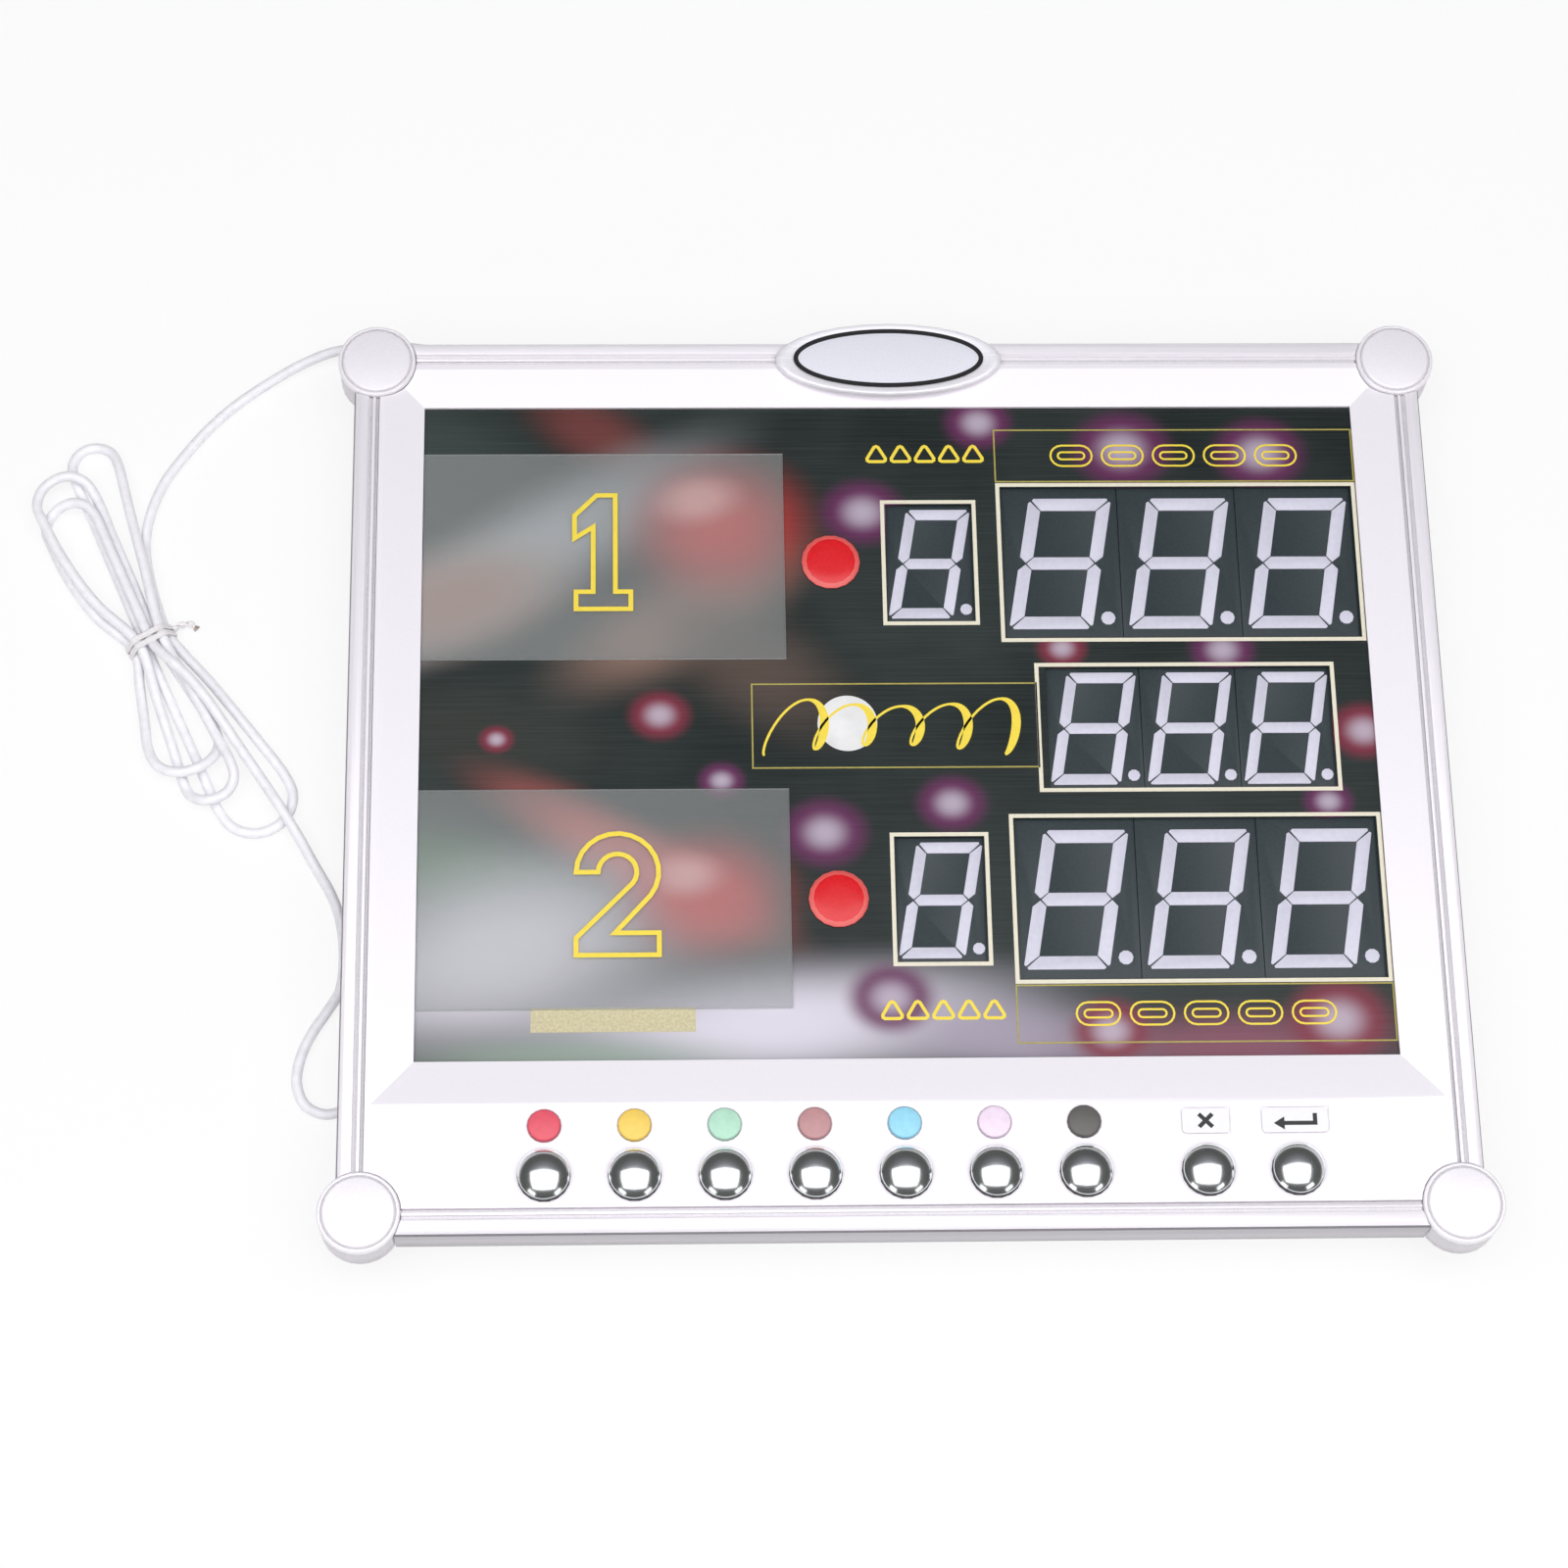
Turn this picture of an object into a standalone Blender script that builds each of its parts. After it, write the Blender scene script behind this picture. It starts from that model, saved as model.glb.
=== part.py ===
"""Electronic snooker scoreboard: an aluminium frame with round corner posts, a sloped window
surround with nine chrome push buttons, LED digit modules behind a printed panel, a shallow rear
case with its boards, and a tied lead with a low voltage plug.

The board lies on its back. X runs across it, Y towards the top of the display, Z out of its face.
The origin is in the middle of the back. All lengths are in metres.
"""
import math

import bmesh
import bpy
import numpy
from mathutils import Vector

for old in list(bpy.data.objects):
    bpy.data.objects.remove(old)

# Gaps that more than one piece shares
SEAT = 0.0003                    # between pieces that touch
OVERRUN = 0.004                  # how far a cutter runs past what it cuts

# Frame: four extruded rails that end on four round corner posts
CORNER_SPAN_X = 0.4152           # between the post axes
CORNER_SPAN_Y = 0.3568
CASE_DEPTH = 0.0190              # from the wall to the back of the frame
FRAME_DEPTH = 0.0160             # back of the frame to its front plane
RAIL_REACH = 0.0089              # rail's outer face past the line through the post axes
RAIL_WALL = 0.0016
RAIL_LIP = 0.0075                # lip at the back of the rail, from its outer face
RAIL_FRONT = 0.0100              # width of its front, up to the surround
LEDGE_WIDTH = 0.0010             # inner shelf that carries the surround's edge
LEDGE_WALL = 0.0016
BAR_WIDTH = 0.0064               # rounded outer bar of the rail's front
BAR_RISE = 0.0006                # its crown over the front plane
BAR_SHOULDER = 0.0026            # height of its outer curve
GROOVE_WIDTH = 0.0012
GROOVE_DEPTH = 0.0012
POST_RADIUS = 0.01545
POST_BORE = 0.0118
CAP_RADIUS = 0.01575
CAP_DISC_RADIUS = 0.0138         # raised disc inside the cap's rim
CAP_THICKNESS = 0.0030
CAP_RISE = 0.0010                # cap's rim over the frame's front plane
CAP_GROOVE = 0.0006
CAP_CROWN = 0.0005
CAP_SPIGOT = 0.0070

# Window surround and button panel, one moulding
LIP_WIDTH = 0.0022               # flat edge beside the rails
SLOPE_WIDTH = 0.0158             # sloped sides
SLOPE_WIDTH_TOP = 0.0162
SLOPE_WIDTH_BOTTOM = 0.0174
SLOPE_DROP = 0.0025
SURROUND_WALL = 0.0020
SURROUND_EDGE = 0.0013           # thickness at the window

# Push buttons: chrome domes with a rim, on the stems of tact switches
BUTTON_DIAMETER = 0.0196
BUTTON_PITCH = 0.0340
BALL_BUTTONS = 7
GROUP_GAP = 0.0461               # last ball button to the first of the pair beside it
ROW_SHIFT = 0.0035               # middle of the row, right of the board's middle
BUTTON_MARGIN = 0.0024           # under the row
BUTTON_GAP = 0.0033              # between the row and the markers over it
MARKER_MARGIN = 0.0027           # markers to the foot of the slope
BUTTON_TRAVEL = 0.0015
BUTTON_CLEARANCE = 0.0003
BUTTON_DOME_HEIGHT = 0.0046
BUTTON_RIM_WIDTH = 0.0011
BUTTON_RIM_HEIGHT = 0.0012       # rim over the panel at rest, less than the travel below it
BUTTON_SKIRT_WALL = 0.0010
BUTTON_FLANGE = 0.0014           # catch that holds the cap under the panel
STEM_RADIUS = 0.0030
STEM_LENGTH = 0.0046             # under the cap's flange

# Markers and labels stuck into shallow recesses of the button panel
MARKER_DIAMETER = 0.0128
MARKER_HEIGHT = 0.0017           # over the panel
RECESS_DEPTH = 0.0006
LABEL_HEIGHT = 0.0102
CANCEL_LABEL_WIDTH = 0.0184
CONFIRM_LABEL_WIDTH = 0.0256

# LED digit modules, in two heights and three widths
BIG_PITCH = 0.0478
BIG_HEIGHT = 0.0698
BIG_CHARACTER = 0.0575
SMALL_PITCH = 0.0382
SMALL_HEIGHT = 0.0548
SMALL_CHARACTER = 0.0478
FRAMES_PITCH = 0.0360
MODULE_DEPTH = 0.0120
MODULE_WALL_GAP = 0.0003
SEGMENT_ROOT = 0.0008            # light bars in the module's face
SEGMENT_RISE = 0.0004            # and over it, in the panel's window
SEGMENT_GAP = 0.0003
DIGIT_SLANT = math.radians(10.0)
DIGIT_WIDTH_SHARE = 0.487        # between the middles of the uprights, of the character's height
NARROW_DIGIT_WIDTH_SHARE = 0.448

# Printed display panel and what lies on it
PANEL_THICKNESS = 0.0015
PANEL_OVERLAP = 0.0040           # under the surround
WINDOW_BORDER = 0.0017           # printed line round each window, which covers the modules' edges
WINDOW_MARGIN = 0.0015           # score windows to the right of the display
WINDOW_GAP_X = 0.0108            # frames window to score window
WINDOW_GAP_Y = 0.00945           # score window to break window
BREAK_SHIFT = 0.0004
ROWS_DROP = 0.0018               # middle of the rows under the middle of the display
LAMP_RADIUS = 0.0117
LAMP_LENS_RADIUS = 0.0098
LAMP_RISE = 0.0012
LAMP_GAP = 0.0100                # lamp to the frames window
PLATE_THICKNESS = 0.0010
PLATE_GAP = 0.0068               # name plate to the lamp
PLATE_HEIGHT_SHARE = 0.3255      # of the display's height
PLATE_PLACE_SHARE = 0.2625       # plate's middle from the display's middle

# Oval badge on the top rail
BADGE_PLATE_WIDTH = 0.0762
BADGE_PLATE_HEIGHT = 0.0254
BADGE_BORDER_X = 0.0078          # base beside the plate
BADGE_BORDER_Y = 0.00345
BADGE_RISE = 0.0022
BADGE_PLATE_RISE = 0.0008
BADGE_RECESS = 0.0006
BADGE_DROP = 0.0004              # middle of the badge under the line through the post axes

# Rear case: a folded sheet ring with a flange in the rails, closed by a screwed panel
CASE_WALL = 0.0012
CASE_CLEARANCE = 0.0030          # boards to the case wall
CASE_TOP_REACH = 0.0024          # case past the top of the display
CASE_CORNER = 0.0060
CASE_FLANGE_GAP = 0.0009         # edge of the flange to the rail's wall
CASE_LAP = 0.0100                # inward flange that the rear panel screws to
REAR_PANEL = 0.0015
PANEL_SCREW_RADIUS = 0.0013
PANEL_SCREW_HEAD = 0.0028
KEYHOLE_RADIUS = 0.0048
KEYHOLE_SLOT = 0.0023
KEYHOLE_LENGTH = 0.0110
KEYHOLE_SPACING = 0.2400
KEYHOLE_FROM_TOP = 0.0340

# Boards
BOARD_THICKNESS = 0.0016
BOARD_MARGIN = 0.0060
SWITCH_SIZE = 0.0120
SWITCH_HEIGHT = 0.0052           # over its board
SWITCH_FLOOR = 0.0018            # under the well that the stem moves in
KEY_BOARD_HEIGHT = 0.0200
SPACER_RADIUS = 0.0030           # standoffs pressed into the rear panel
POWER_BOARD_X = 0.0720
POWER_BOARD_Y = 0.0500
POWER_SPACER = 0.0060
HEATSINK_HEIGHT = 0.0120
HEATSINK_FINS = 6
CAPACITOR_RADIUS = 0.0050
CAPACITOR_HEIGHT = 0.0110
RIBBON_WIDTH = 0.0200
RIBBON_THICKNESS = 0.0010
RIBBON_PLUG_HEIGHT = 0.0050
RIBBON_PLUG_DEPTH = 0.0060

# Lead, its gland and its plug
CORD_DIAMETER = 0.0042
CORD_FLOOR_GAP = 0.0002          # under the lead where it lies
GLAND_LENGTH = 0.0150
GLAND_RADIUS = 0.0052
GLAND_TIP_RADIUS = 0.0034
GLAND_FLANGE_RADIUS = 0.0072
GLAND_FLANGE = 0.0016
GLAND_FROM_SIDE = 0.0200         # gland's axis from the case's left side
GLAND_HOLD = 0.0080              # lead's end inside the gland's bore
PLUG_RADIUS = 0.0050
PLUG_LENGTH = 0.0250
PLUG_EDGE = 0.0008
PLUG_RELIEF = 0.0100
PLUG_RELIEF_RADIUS = 0.0042
PLUG_TIP_RADIUS = 0.0033
PLUG_SOCKET = 0.0040             # bore that the lead's end sits in
PLUG_BARREL_RADIUS = 0.00275
PLUG_BARREL_BORE = 0.00105
PLUG_BARREL_LENGTH = 0.0095
PLUG_BARREL_DEPTH = 0.0080

# Route of the lead from the gland to the hank: X and Y from the gland's place in the case's top
# wall, and the height over the level at which the lead lies
LEAD_ROUTE = [
    (-0.0022, 0.0250, 0.0091),
    (-0.0085, 0.0320, 0.0080),
    (-0.0180, 0.0363, 0.0068),
    (-0.0280, 0.0383, 0.0057),
    (-0.0410, 0.0389, 0.0042),
    (-0.0568, 0.0379, 0.0027),
    (-0.0701, 0.0326, 0.0015),
    (-0.0833, 0.0245, 0.0006),
    (-0.0963, 0.0148, 0.0001),
    (-0.1076, 0.0035, 0.0),
    (-0.1168, -0.0085, 0.0),
]

# Route from the hank to the plug, which lies under the left rail
TAIL_ROUTE = [
    (-0.0533, -0.1992, 0.0),
    (-0.0491, -0.2100, 0.0),
    (-0.0469, -0.2250, 0.0),
    (-0.0481, -0.2405, 0.0),
    (-0.0530, -0.2495, 0.0),
    (-0.0581, -0.2575, 0.0),
    (-0.0623, -0.2670, 0.0),
    (-0.0639, -0.2784, 0.0),
    (-0.0601, -0.2875, 0.0),
    (-0.0516, -0.2910, 0.0),
    (-0.0429, -0.2868, 0.0),
    (-0.0383, -0.2770, 0.0),
    (-0.0359, -0.2640, 0.0002),
    (-0.0343, -0.2490, 0.0010),
    (-0.0336, -0.2350, 0.0021),
]
PLUG_X = -0.0334                 # tip of the plug's relief, from the gland's place
PLUG_Y = -0.2200

# Tied hank: half turns that cross the tie's middle, from which the distances along the hank's
# line, towards its upper end, and across it, to the right, are measured
HANK_X = -0.1271                 # tie's middle from the gland's place
HANK_Y = -0.0928
HANK_LINE = math.radians(120.4)
STRAND_GAP = 0.0008              # between neighbours of one layer in the tie
LAYER_GAP = 0.0007               # between strands that cross
TIED_LIFT_SHARE = 0.20           # of a layer, low strands over the floor in the tie
TIED_HIGH_SHARE = 0.87           # of a layer, high strands over the low ones in the tie
TIE_WIDTH = 0.0030
TIE_THICKNESS = 0.0005
TIE_GAP = 0.0005                 # round the strands, which fan out from the tie
STRAND_SLOTS = [3, -1, 2, -2, 1, -3, 0]
HANK_START = [(0.0610, 0.0388), (0.0512, 0.0270), (0.0402, 0.0188), (0.0270, 0.0134), (0.0135, 0.0098)]

# Half turns in order: side of the tie, reach, turn from the line in degrees, radius of the round
# end, bow of the first side, and the heights of the points in layers over the level of rest
HALF_TURNS = [
    (-1, 0.0950, 2.6, 0.0150, 0.001, (0.2, 0.05, 0, 0, 0, 0, 0, 0, 0, 0, 0, 0)),
    (1, 0.0920, 12.0, 0.0092, 0.0, (0.2, 0.04, 0, 0, 0, 0, 0, 0, 0.11, 0.31, 0.62, 0.95)),
    (-1, 0.0748, -7.2, 0.0100, 0.0, (1.07, 0.99, 1.07, 1.31, 1.1, 1.02, 1.06, 0.87, 0.38, 0, 0.04, 0.64)),
    (1, 0.0825, -0.6, 0.0120, -0.004, (1.07, 1, 1.04, 0.99, 0.85, 0.82, 0.89, 1.08, 0.92, 0.4, 0.2, 0.16)),
    (-1, 0.0602, -12.2, 0.0140, 0.0, (0.2, 0, 0, 0, 0.05, 0.77, 1.19, 0.95, 0.55, 0.27, 0.08, 0)),
    (1, 0.0715, -3.6, 0.0105, -0.004, (0.2, 0.05, 0, 0, 0, 0.04, 0.37, 0.8, 1, 1.02, 0.99, 0.99)),
]
HANK_END = [
    (-0.005, 0.0, 1.39),
    (-0.010, 0.0009, 1.73),
    (-0.015, 0.0023, 1.96),
    (-0.021, 0.0040, 2.01),
    (-0.028, 0.0055, 1.95),
    (-0.036, 0.0066, 1.77),
    (-0.046, 0.0074, 1.49),
    (-0.056, 0.0080, 1.22),
    (-0.068, 0.0087, 1.06),
    (-0.079, 0.0093, 1.0),
    (-0.091, 0.0098, 1.05),
    (-0.104, 0.0101, 0.73),
    (-0.118, 0.0100, 0.0),
]

# Levels, from the wall up
FRAME_BACK = CASE_DEPTH
FRONT = FRAME_BACK + FRAME_DEPTH
SURROUND_EDGE_TOP = FRONT - SLOPE_DROP
PANEL_TOP = SURROUND_EDGE_TOP - SURROUND_EDGE - SEAT
PANEL_BACK = PANEL_TOP - PANEL_THICKNESS
MODULE_TOP = PANEL_BACK - SEAT
MODULE_BACK = MODULE_TOP - MODULE_DEPTH
BOARD_TOP = MODULE_BACK - SEAT
BOARD_BACK = BOARD_TOP - BOARD_THICKNESS
CASE_BACK = REAR_PANEL + SEAT
FLANGE_BACK = FRAME_BACK + RAIL_WALL + SEAT
FLANGE_TOP = FLANGE_BACK + CASE_WALL

# Plan of the frame and of the surround
POST_X = CORNER_SPAN_X / 2
POST_Y = CORNER_SPAN_Y / 2
FRAME_X = POST_X + RAIL_REACH
FRAME_Y = POST_Y + RAIL_REACH
SURROUND_X = FRAME_X - RAIL_FRONT - SEAT
SURROUND_Y = FRAME_Y - RAIL_FRONT - SEAT
LIP_X = SURROUND_X - LIP_WIDTH
LIP_TOP = SURROUND_Y - LIP_WIDTH
DISPLAY_X = LIP_X - SLOPE_WIDTH
DISPLAY_TOP = LIP_TOP - SLOPE_WIDTH_TOP
BUTTON_RADIUS = BUTTON_DIAMETER / 2
MARKER_RADIUS = MARKER_DIAMETER / 2
BUTTON_ROW = -SURROUND_Y + BUTTON_MARGIN + BUTTON_RADIUS
MARKER_ROW = BUTTON_ROW + BUTTON_RADIUS + BUTTON_GAP + MARKER_RADIUS
SLOPE_FOOT = MARKER_ROW + MARKER_RADIUS + MARKER_MARGIN
DISPLAY_BOTTOM = SLOPE_FOOT + SLOPE_WIDTH_BOTTOM
DISPLAY_MIDDLE = (DISPLAY_TOP + DISPLAY_BOTTOM) / 2
DISPLAY_HEIGHT = DISPLAY_TOP - DISPLAY_BOTTOM

# Plan of the digit rows: the printed border hides the edges of the modules
SCORE_WIDTH = 3 * BIG_PITCH
BREAK_WIDTH = 3 * SMALL_PITCH
SCORE_X = DISPLAY_X - WINDOW_MARGIN - SCORE_WIDTH / 2
FRAMES_X = SCORE_X - SCORE_WIDTH / 2 - WINDOW_GAP_X - FRAMES_PITCH / 2
BREAK_X = SCORE_X + BREAK_SHIFT
ROW_PITCH = (BIG_HEIGHT + SMALL_HEIGHT) / 2 + WINDOW_GAP_Y
BREAK_Y = DISPLAY_MIDDLE - ROWS_DROP
ROW_A = BREAK_Y + ROW_PITCH
ROW_B = BREAK_Y - ROW_PITCH
LAMP_X = FRAMES_X - FRAMES_PITCH / 2 - LAMP_GAP - LAMP_RADIUS
PLATE_LEFT = -DISPLAY_X + SEAT
PLATE_RIGHT = LAMP_X - LAMP_RADIUS - PLATE_GAP
PLATE_HEIGHT = DISPLAY_HEIGHT * PLATE_HEIGHT_SHARE
PLATE_OFFSET = DISPLAY_HEIGHT * PLATE_PLACE_SHARE

# Plan of the rear case
CASE_X = SCORE_X + SCORE_WIDTH / 2 + CASE_CLEARANCE + CASE_WALL
CASE_TOP = DISPLAY_TOP + CASE_TOP_REACH
KEY_BOARD_Y = BUTTON_ROW
CASE_BOTTOM = KEY_BOARD_Y - KEY_BOARD_HEIGHT / 2 - CASE_CLEARANCE - CASE_WALL

# Round faces get this many sides
FINE = 28
ROUND = 18
SMALL = 10


def button_places():
    """X of each button, left to right: one per ball colour, then cancel and confirm."""
    span = (BALL_BUTTONS - 1) * BUTTON_PITCH + GROUP_GAP + BUTTON_PITCH
    first = ROW_SHIFT - span / 2
    balls = [first + i * BUTTON_PITCH for i in range(BALL_BUTTONS)]
    cancel = balls[-1] + GROUP_GAP
    return balls + [cancel, cancel + BUTTON_PITCH]


def material(name, colour, roughness, metallic=0.0, alpha=1.0):
    """A Principled material, shared by the pieces that name it."""
    made = bpy.data.materials.get(name)
    if made is None:
        made = bpy.data.materials.new(name)
        made.use_nodes = True
        shader = made.node_tree.nodes["Principled BSDF"]
        shader.inputs["Base Color"].default_value = (*colour, 1.0)
        shader.inputs["Roughness"].default_value = roughness
        shader.inputs["Metallic"].default_value = metallic
        shader.inputs["Alpha"].default_value = alpha
        made.diffuse_color = (*colour, alpha)
    return made


def silver():
    return material("silver_anodised", (0.80, 0.78, 0.82), 0.35, 0.8)


def silver_paint():
    return material("silver_paint", (0.84, 0.82, 0.86), 0.4)


def dark_plastic():
    return material("dark_plastic", (0.05, 0.07, 0.08), 0.5)


def chrome():
    return material("chrome", (0.75, 0.76, 0.78), 0.08, 1.0)


def board_green():
    return material("board_green", (0.05, 0.25, 0.12), 0.45)


def case_sheet():
    return material("case_sheet", (0.70, 0.70, 0.72), 0.5, 0.6)


def white_sleeve():
    return material("white_sleeve", (0.86, 0.85, 0.88), 0.45)


def add(name, mesh, finish, location=(0, 0, 0), smooth=False):
    """One named object with its material."""
    made = bpy.data.objects.new(name, mesh)
    bpy.context.collection.objects.link(made)
    made.location = location
    if finish is not None and not mesh.materials:
        mesh.materials.append(finish)
    if smooth:
        mesh.shade_smooth()
        mesh.set_sharp_from_angle(angle=math.radians(35))
    return made


def finish_mesh(name, bm):
    """Close a bmesh into a mesh with its faces pointing out."""
    bmesh.ops.recalc_face_normals(bm, faces=bm.faces)
    mesh = bpy.data.meshes.new(name)
    bm.to_mesh(mesh)
    bm.free()
    return mesh


def add_loft(bm, rings, ring_closes=False):
    """Join rings of points with quads; the ends get caps, unless the last ring meets the first."""
    rows = [[bm.verts.new(point) for point in ring] for ring in rings]
    pairs = list(zip(rows, rows[1:]))
    if ring_closes:
        pairs.append((rows[-1], rows[0]))
    for low, high in pairs:
        for i in range(len(low)):
            j = (i + 1) % len(low)
            bm.faces.new((low[i], low[j], high[j], high[i]))
    if not ring_closes:
        bm.faces.new(rows[0][::-1])
        bm.faces.new(rows[-1])


def lofted(name, rings, ring_closes=False):
    bm = bmesh.new()
    add_loft(bm, rings, ring_closes)
    return finish_mesh(name, bm)


def add_prism(bm, outline, low, high):
    """Extrude a plan outline from one level to another."""
    add_loft(bm, [[Vector((x, y, z)) for x, y in outline] for z in (low, high)])


def prism(name, outline, low, high):
    bm = bmesh.new()
    add_prism(bm, outline, low, high)
    return finish_mesh(name, bm)


def circle(radius, sides, x=0.0, y=0.0):
    turn = 2 * math.pi / sides
    return [(x + radius * math.cos(i * turn), y + radius * math.sin(i * turn)) for i in range(sides)]


def oval(width, height, sides=FINE):
    return [(x * width / 2, y * height / 2) for x, y in circle(1.0, sides)]


def rectangle(x_low, x_high, y_low, y_high):
    return [(x_low, y_low), (x_high, y_low), (x_high, y_high), (x_low, y_high)]


def rounded_rectangle(x_low, x_high, y_low, y_high, radius, steps=5):
    """A rectangle with arcs of some steps at its corners, counterclockwise."""
    corners = [
        (x_high - radius, y_high - radius, 0.0),
        (x_low + radius, y_high - radius, 0.5),
        (x_low + radius, y_low + radius, 1.0),
        (x_high - radius, y_low + radius, 1.5),
    ]
    points = []
    for x, y, turn in corners:
        for i in range(steps + 1):
            angle = math.pi * (turn + 0.5 * i / steps)
            points.append((x + radius * math.cos(angle), y + radius * math.sin(angle)))
    return points


def turned_rings(profile, sides, x=0.0, y=0.0):
    """Rings of a turned shape from (radius, level) pairs, which start and end off the axis."""
    return [[Vector((px, py, z)) for px, py in circle(r, sides, x, y)] for r, z in profile]


def turned(name, profile, sides, hollow=False):
    """A turned solid. A hollow one's profile runs round its wall."""
    return lofted(name, turned_rings(profile, sides), hollow)


def arc_profile(radius_start, radius_end, low, high, steps):
    """Quarter of an ellipse from (radius_start, low), which stands, to (radius_end, high)."""
    points = []
    for i in range(steps + 1):
        angle = 0.5 * math.pi * i / steps
        radius = radius_end + (radius_start - radius_end) * math.cos(angle)
        points.append((radius, low + (high - low) * math.sin(angle)))
    return points


def combine(target, helper, operation):
    """Apply a helper to a piece and leave the helper as a hidden wire guide."""
    helper.hide_render = True
    helper.display_type = "WIRE"
    modifier = target.modifiers.new(helper.name, "BOOLEAN")
    modifier.operation = operation
    modifier.solver = "EXACT"
    modifier.object = helper


def cut(target, cutter):
    combine(target, cutter, "DIFFERENCE")


def join(target, extra):
    combine(target, extra, "UNION")


def corners():
    """Name, side in X and side in Y of each corner."""
    return [("top_left", -1, 1), ("top_right", 1, 1), ("bottom_left", -1, -1), ("bottom_right", 1, -1)]


def corner_cutter(name, radius, low, high):
    """Four cylinders that cope a piece round the corner posts."""
    bm = bmesh.new()
    for _, side_x, side_y in corners():
        add_prism(bm, circle(radius, FINE, side_x * POST_X, side_y * POST_Y), low, high)
    return add(name, finish_mesh(name, bm), None)


def rail_section():
    """Outline of the extrusion, as (distance in from the outer face, level), once round."""
    rib_start = BAR_WIDTH + GROOVE_WIDTH
    rib_end = RAIL_FRONT - GROOVE_WIDTH
    ledge_end = RAIL_FRONT + LEDGE_WIDTH
    ledge_top = FRONT - SURROUND_WALL - SEAT
    crown = FRONT + BAR_RISE
    bar = []
    steps = 5
    for i in range(steps + 1):
        angle = math.pi * (1 - i / steps)
        x = BAR_WIDTH / 2 * (1 + math.cos(angle))
        bar.append((x, crown - BAR_SHOULDER * (1 - math.sin(angle))))
    bar[-1] = (BAR_WIDTH, FRONT - GROOVE_DEPTH)
    return bar + [
        (rib_start, FRONT - GROOVE_DEPTH),
        (rib_start, FRONT),
        (rib_end, FRONT),
        (rib_end, FRONT - GROOVE_DEPTH),
        (RAIL_FRONT, FRONT - GROOVE_DEPTH),
        (RAIL_FRONT, ledge_top),
        (ledge_end, ledge_top),
        (ledge_end, ledge_top - LEDGE_WALL),
        (RAIL_WALL, ledge_top - LEDGE_WALL),
        (RAIL_WALL, FRAME_BACK + RAIL_WALL),
        (RAIL_LIP, FRAME_BACK + RAIL_WALL),
        (RAIL_LIP, FRAME_BACK),
        (0.0, FRAME_BACK),
    ]


def make_frame():
    """Four extrusions, coped where they meet the posts, and the posts with their caps."""
    cope = corner_cutter("corner_cope", CAP_RADIUS + SEAT, FRAME_BACK - OVERRUN, FRONT + OVERRUN)
    section = rail_section()
    for name, side in (("rail_left", -1), ("rail_right", 1)):
        ends = [[Vector((side * (FRAME_X - u), y, z)) for u, z in section] for y in (-POST_Y, POST_Y)]
        cut(add(name, lofted(name, ends), silver()), cope)
    for name, side in (("rail_bottom", -1), ("rail_top", 1)):
        ends = [[Vector((x, side * (FRAME_Y - u), z)) for u, z in section] for x in (-POST_X, POST_X)]
        cut(add(name, lofted(name, ends), silver()), cope)

    cap_top = FRONT + CAP_RISE
    cap_back = cap_top - CAP_THICKNESS
    post_top = cap_back - SEAT
    post_wall = [
        (POST_RADIUS, FRAME_BACK),
        (POST_RADIUS, post_top),
        (POST_BORE, post_top),
        (POST_BORE, FRAME_BACK),
    ]
    post = turned("corner_post", post_wall, FINE, hollow=True)
    rim_round = CAP_GROOVE
    spigot = POST_BORE - SEAT
    rim_inner = CAP_DISC_RADIUS + CAP_GROOVE
    cap_profile = [
        (spigot, cap_back - CAP_SPIGOT),
        (spigot, cap_back),
        (CAP_RADIUS, cap_back),
        (CAP_RADIUS, cap_top - rim_round),
        (CAP_RADIUS - rim_round, cap_top),
        (rim_inner, cap_top),
        (rim_inner, cap_top - CAP_GROOVE),
        (CAP_DISC_RADIUS, cap_top - CAP_GROOVE),
        (CAP_DISC_RADIUS, cap_top),
        (CAP_DISC_RADIUS - rim_round, cap_top + CAP_CROWN),
    ]
    cap = turned("corner_cap", cap_profile, FINE)
    for name, side_x, side_y in corners():
        place = (side_x * POST_X, side_y * POST_Y, 0)
        add(f"post_{name}", post, silver(), place, smooth=True)
        add(f"cap_{name}", cap, silver_paint(), place, smooth=True)


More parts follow.
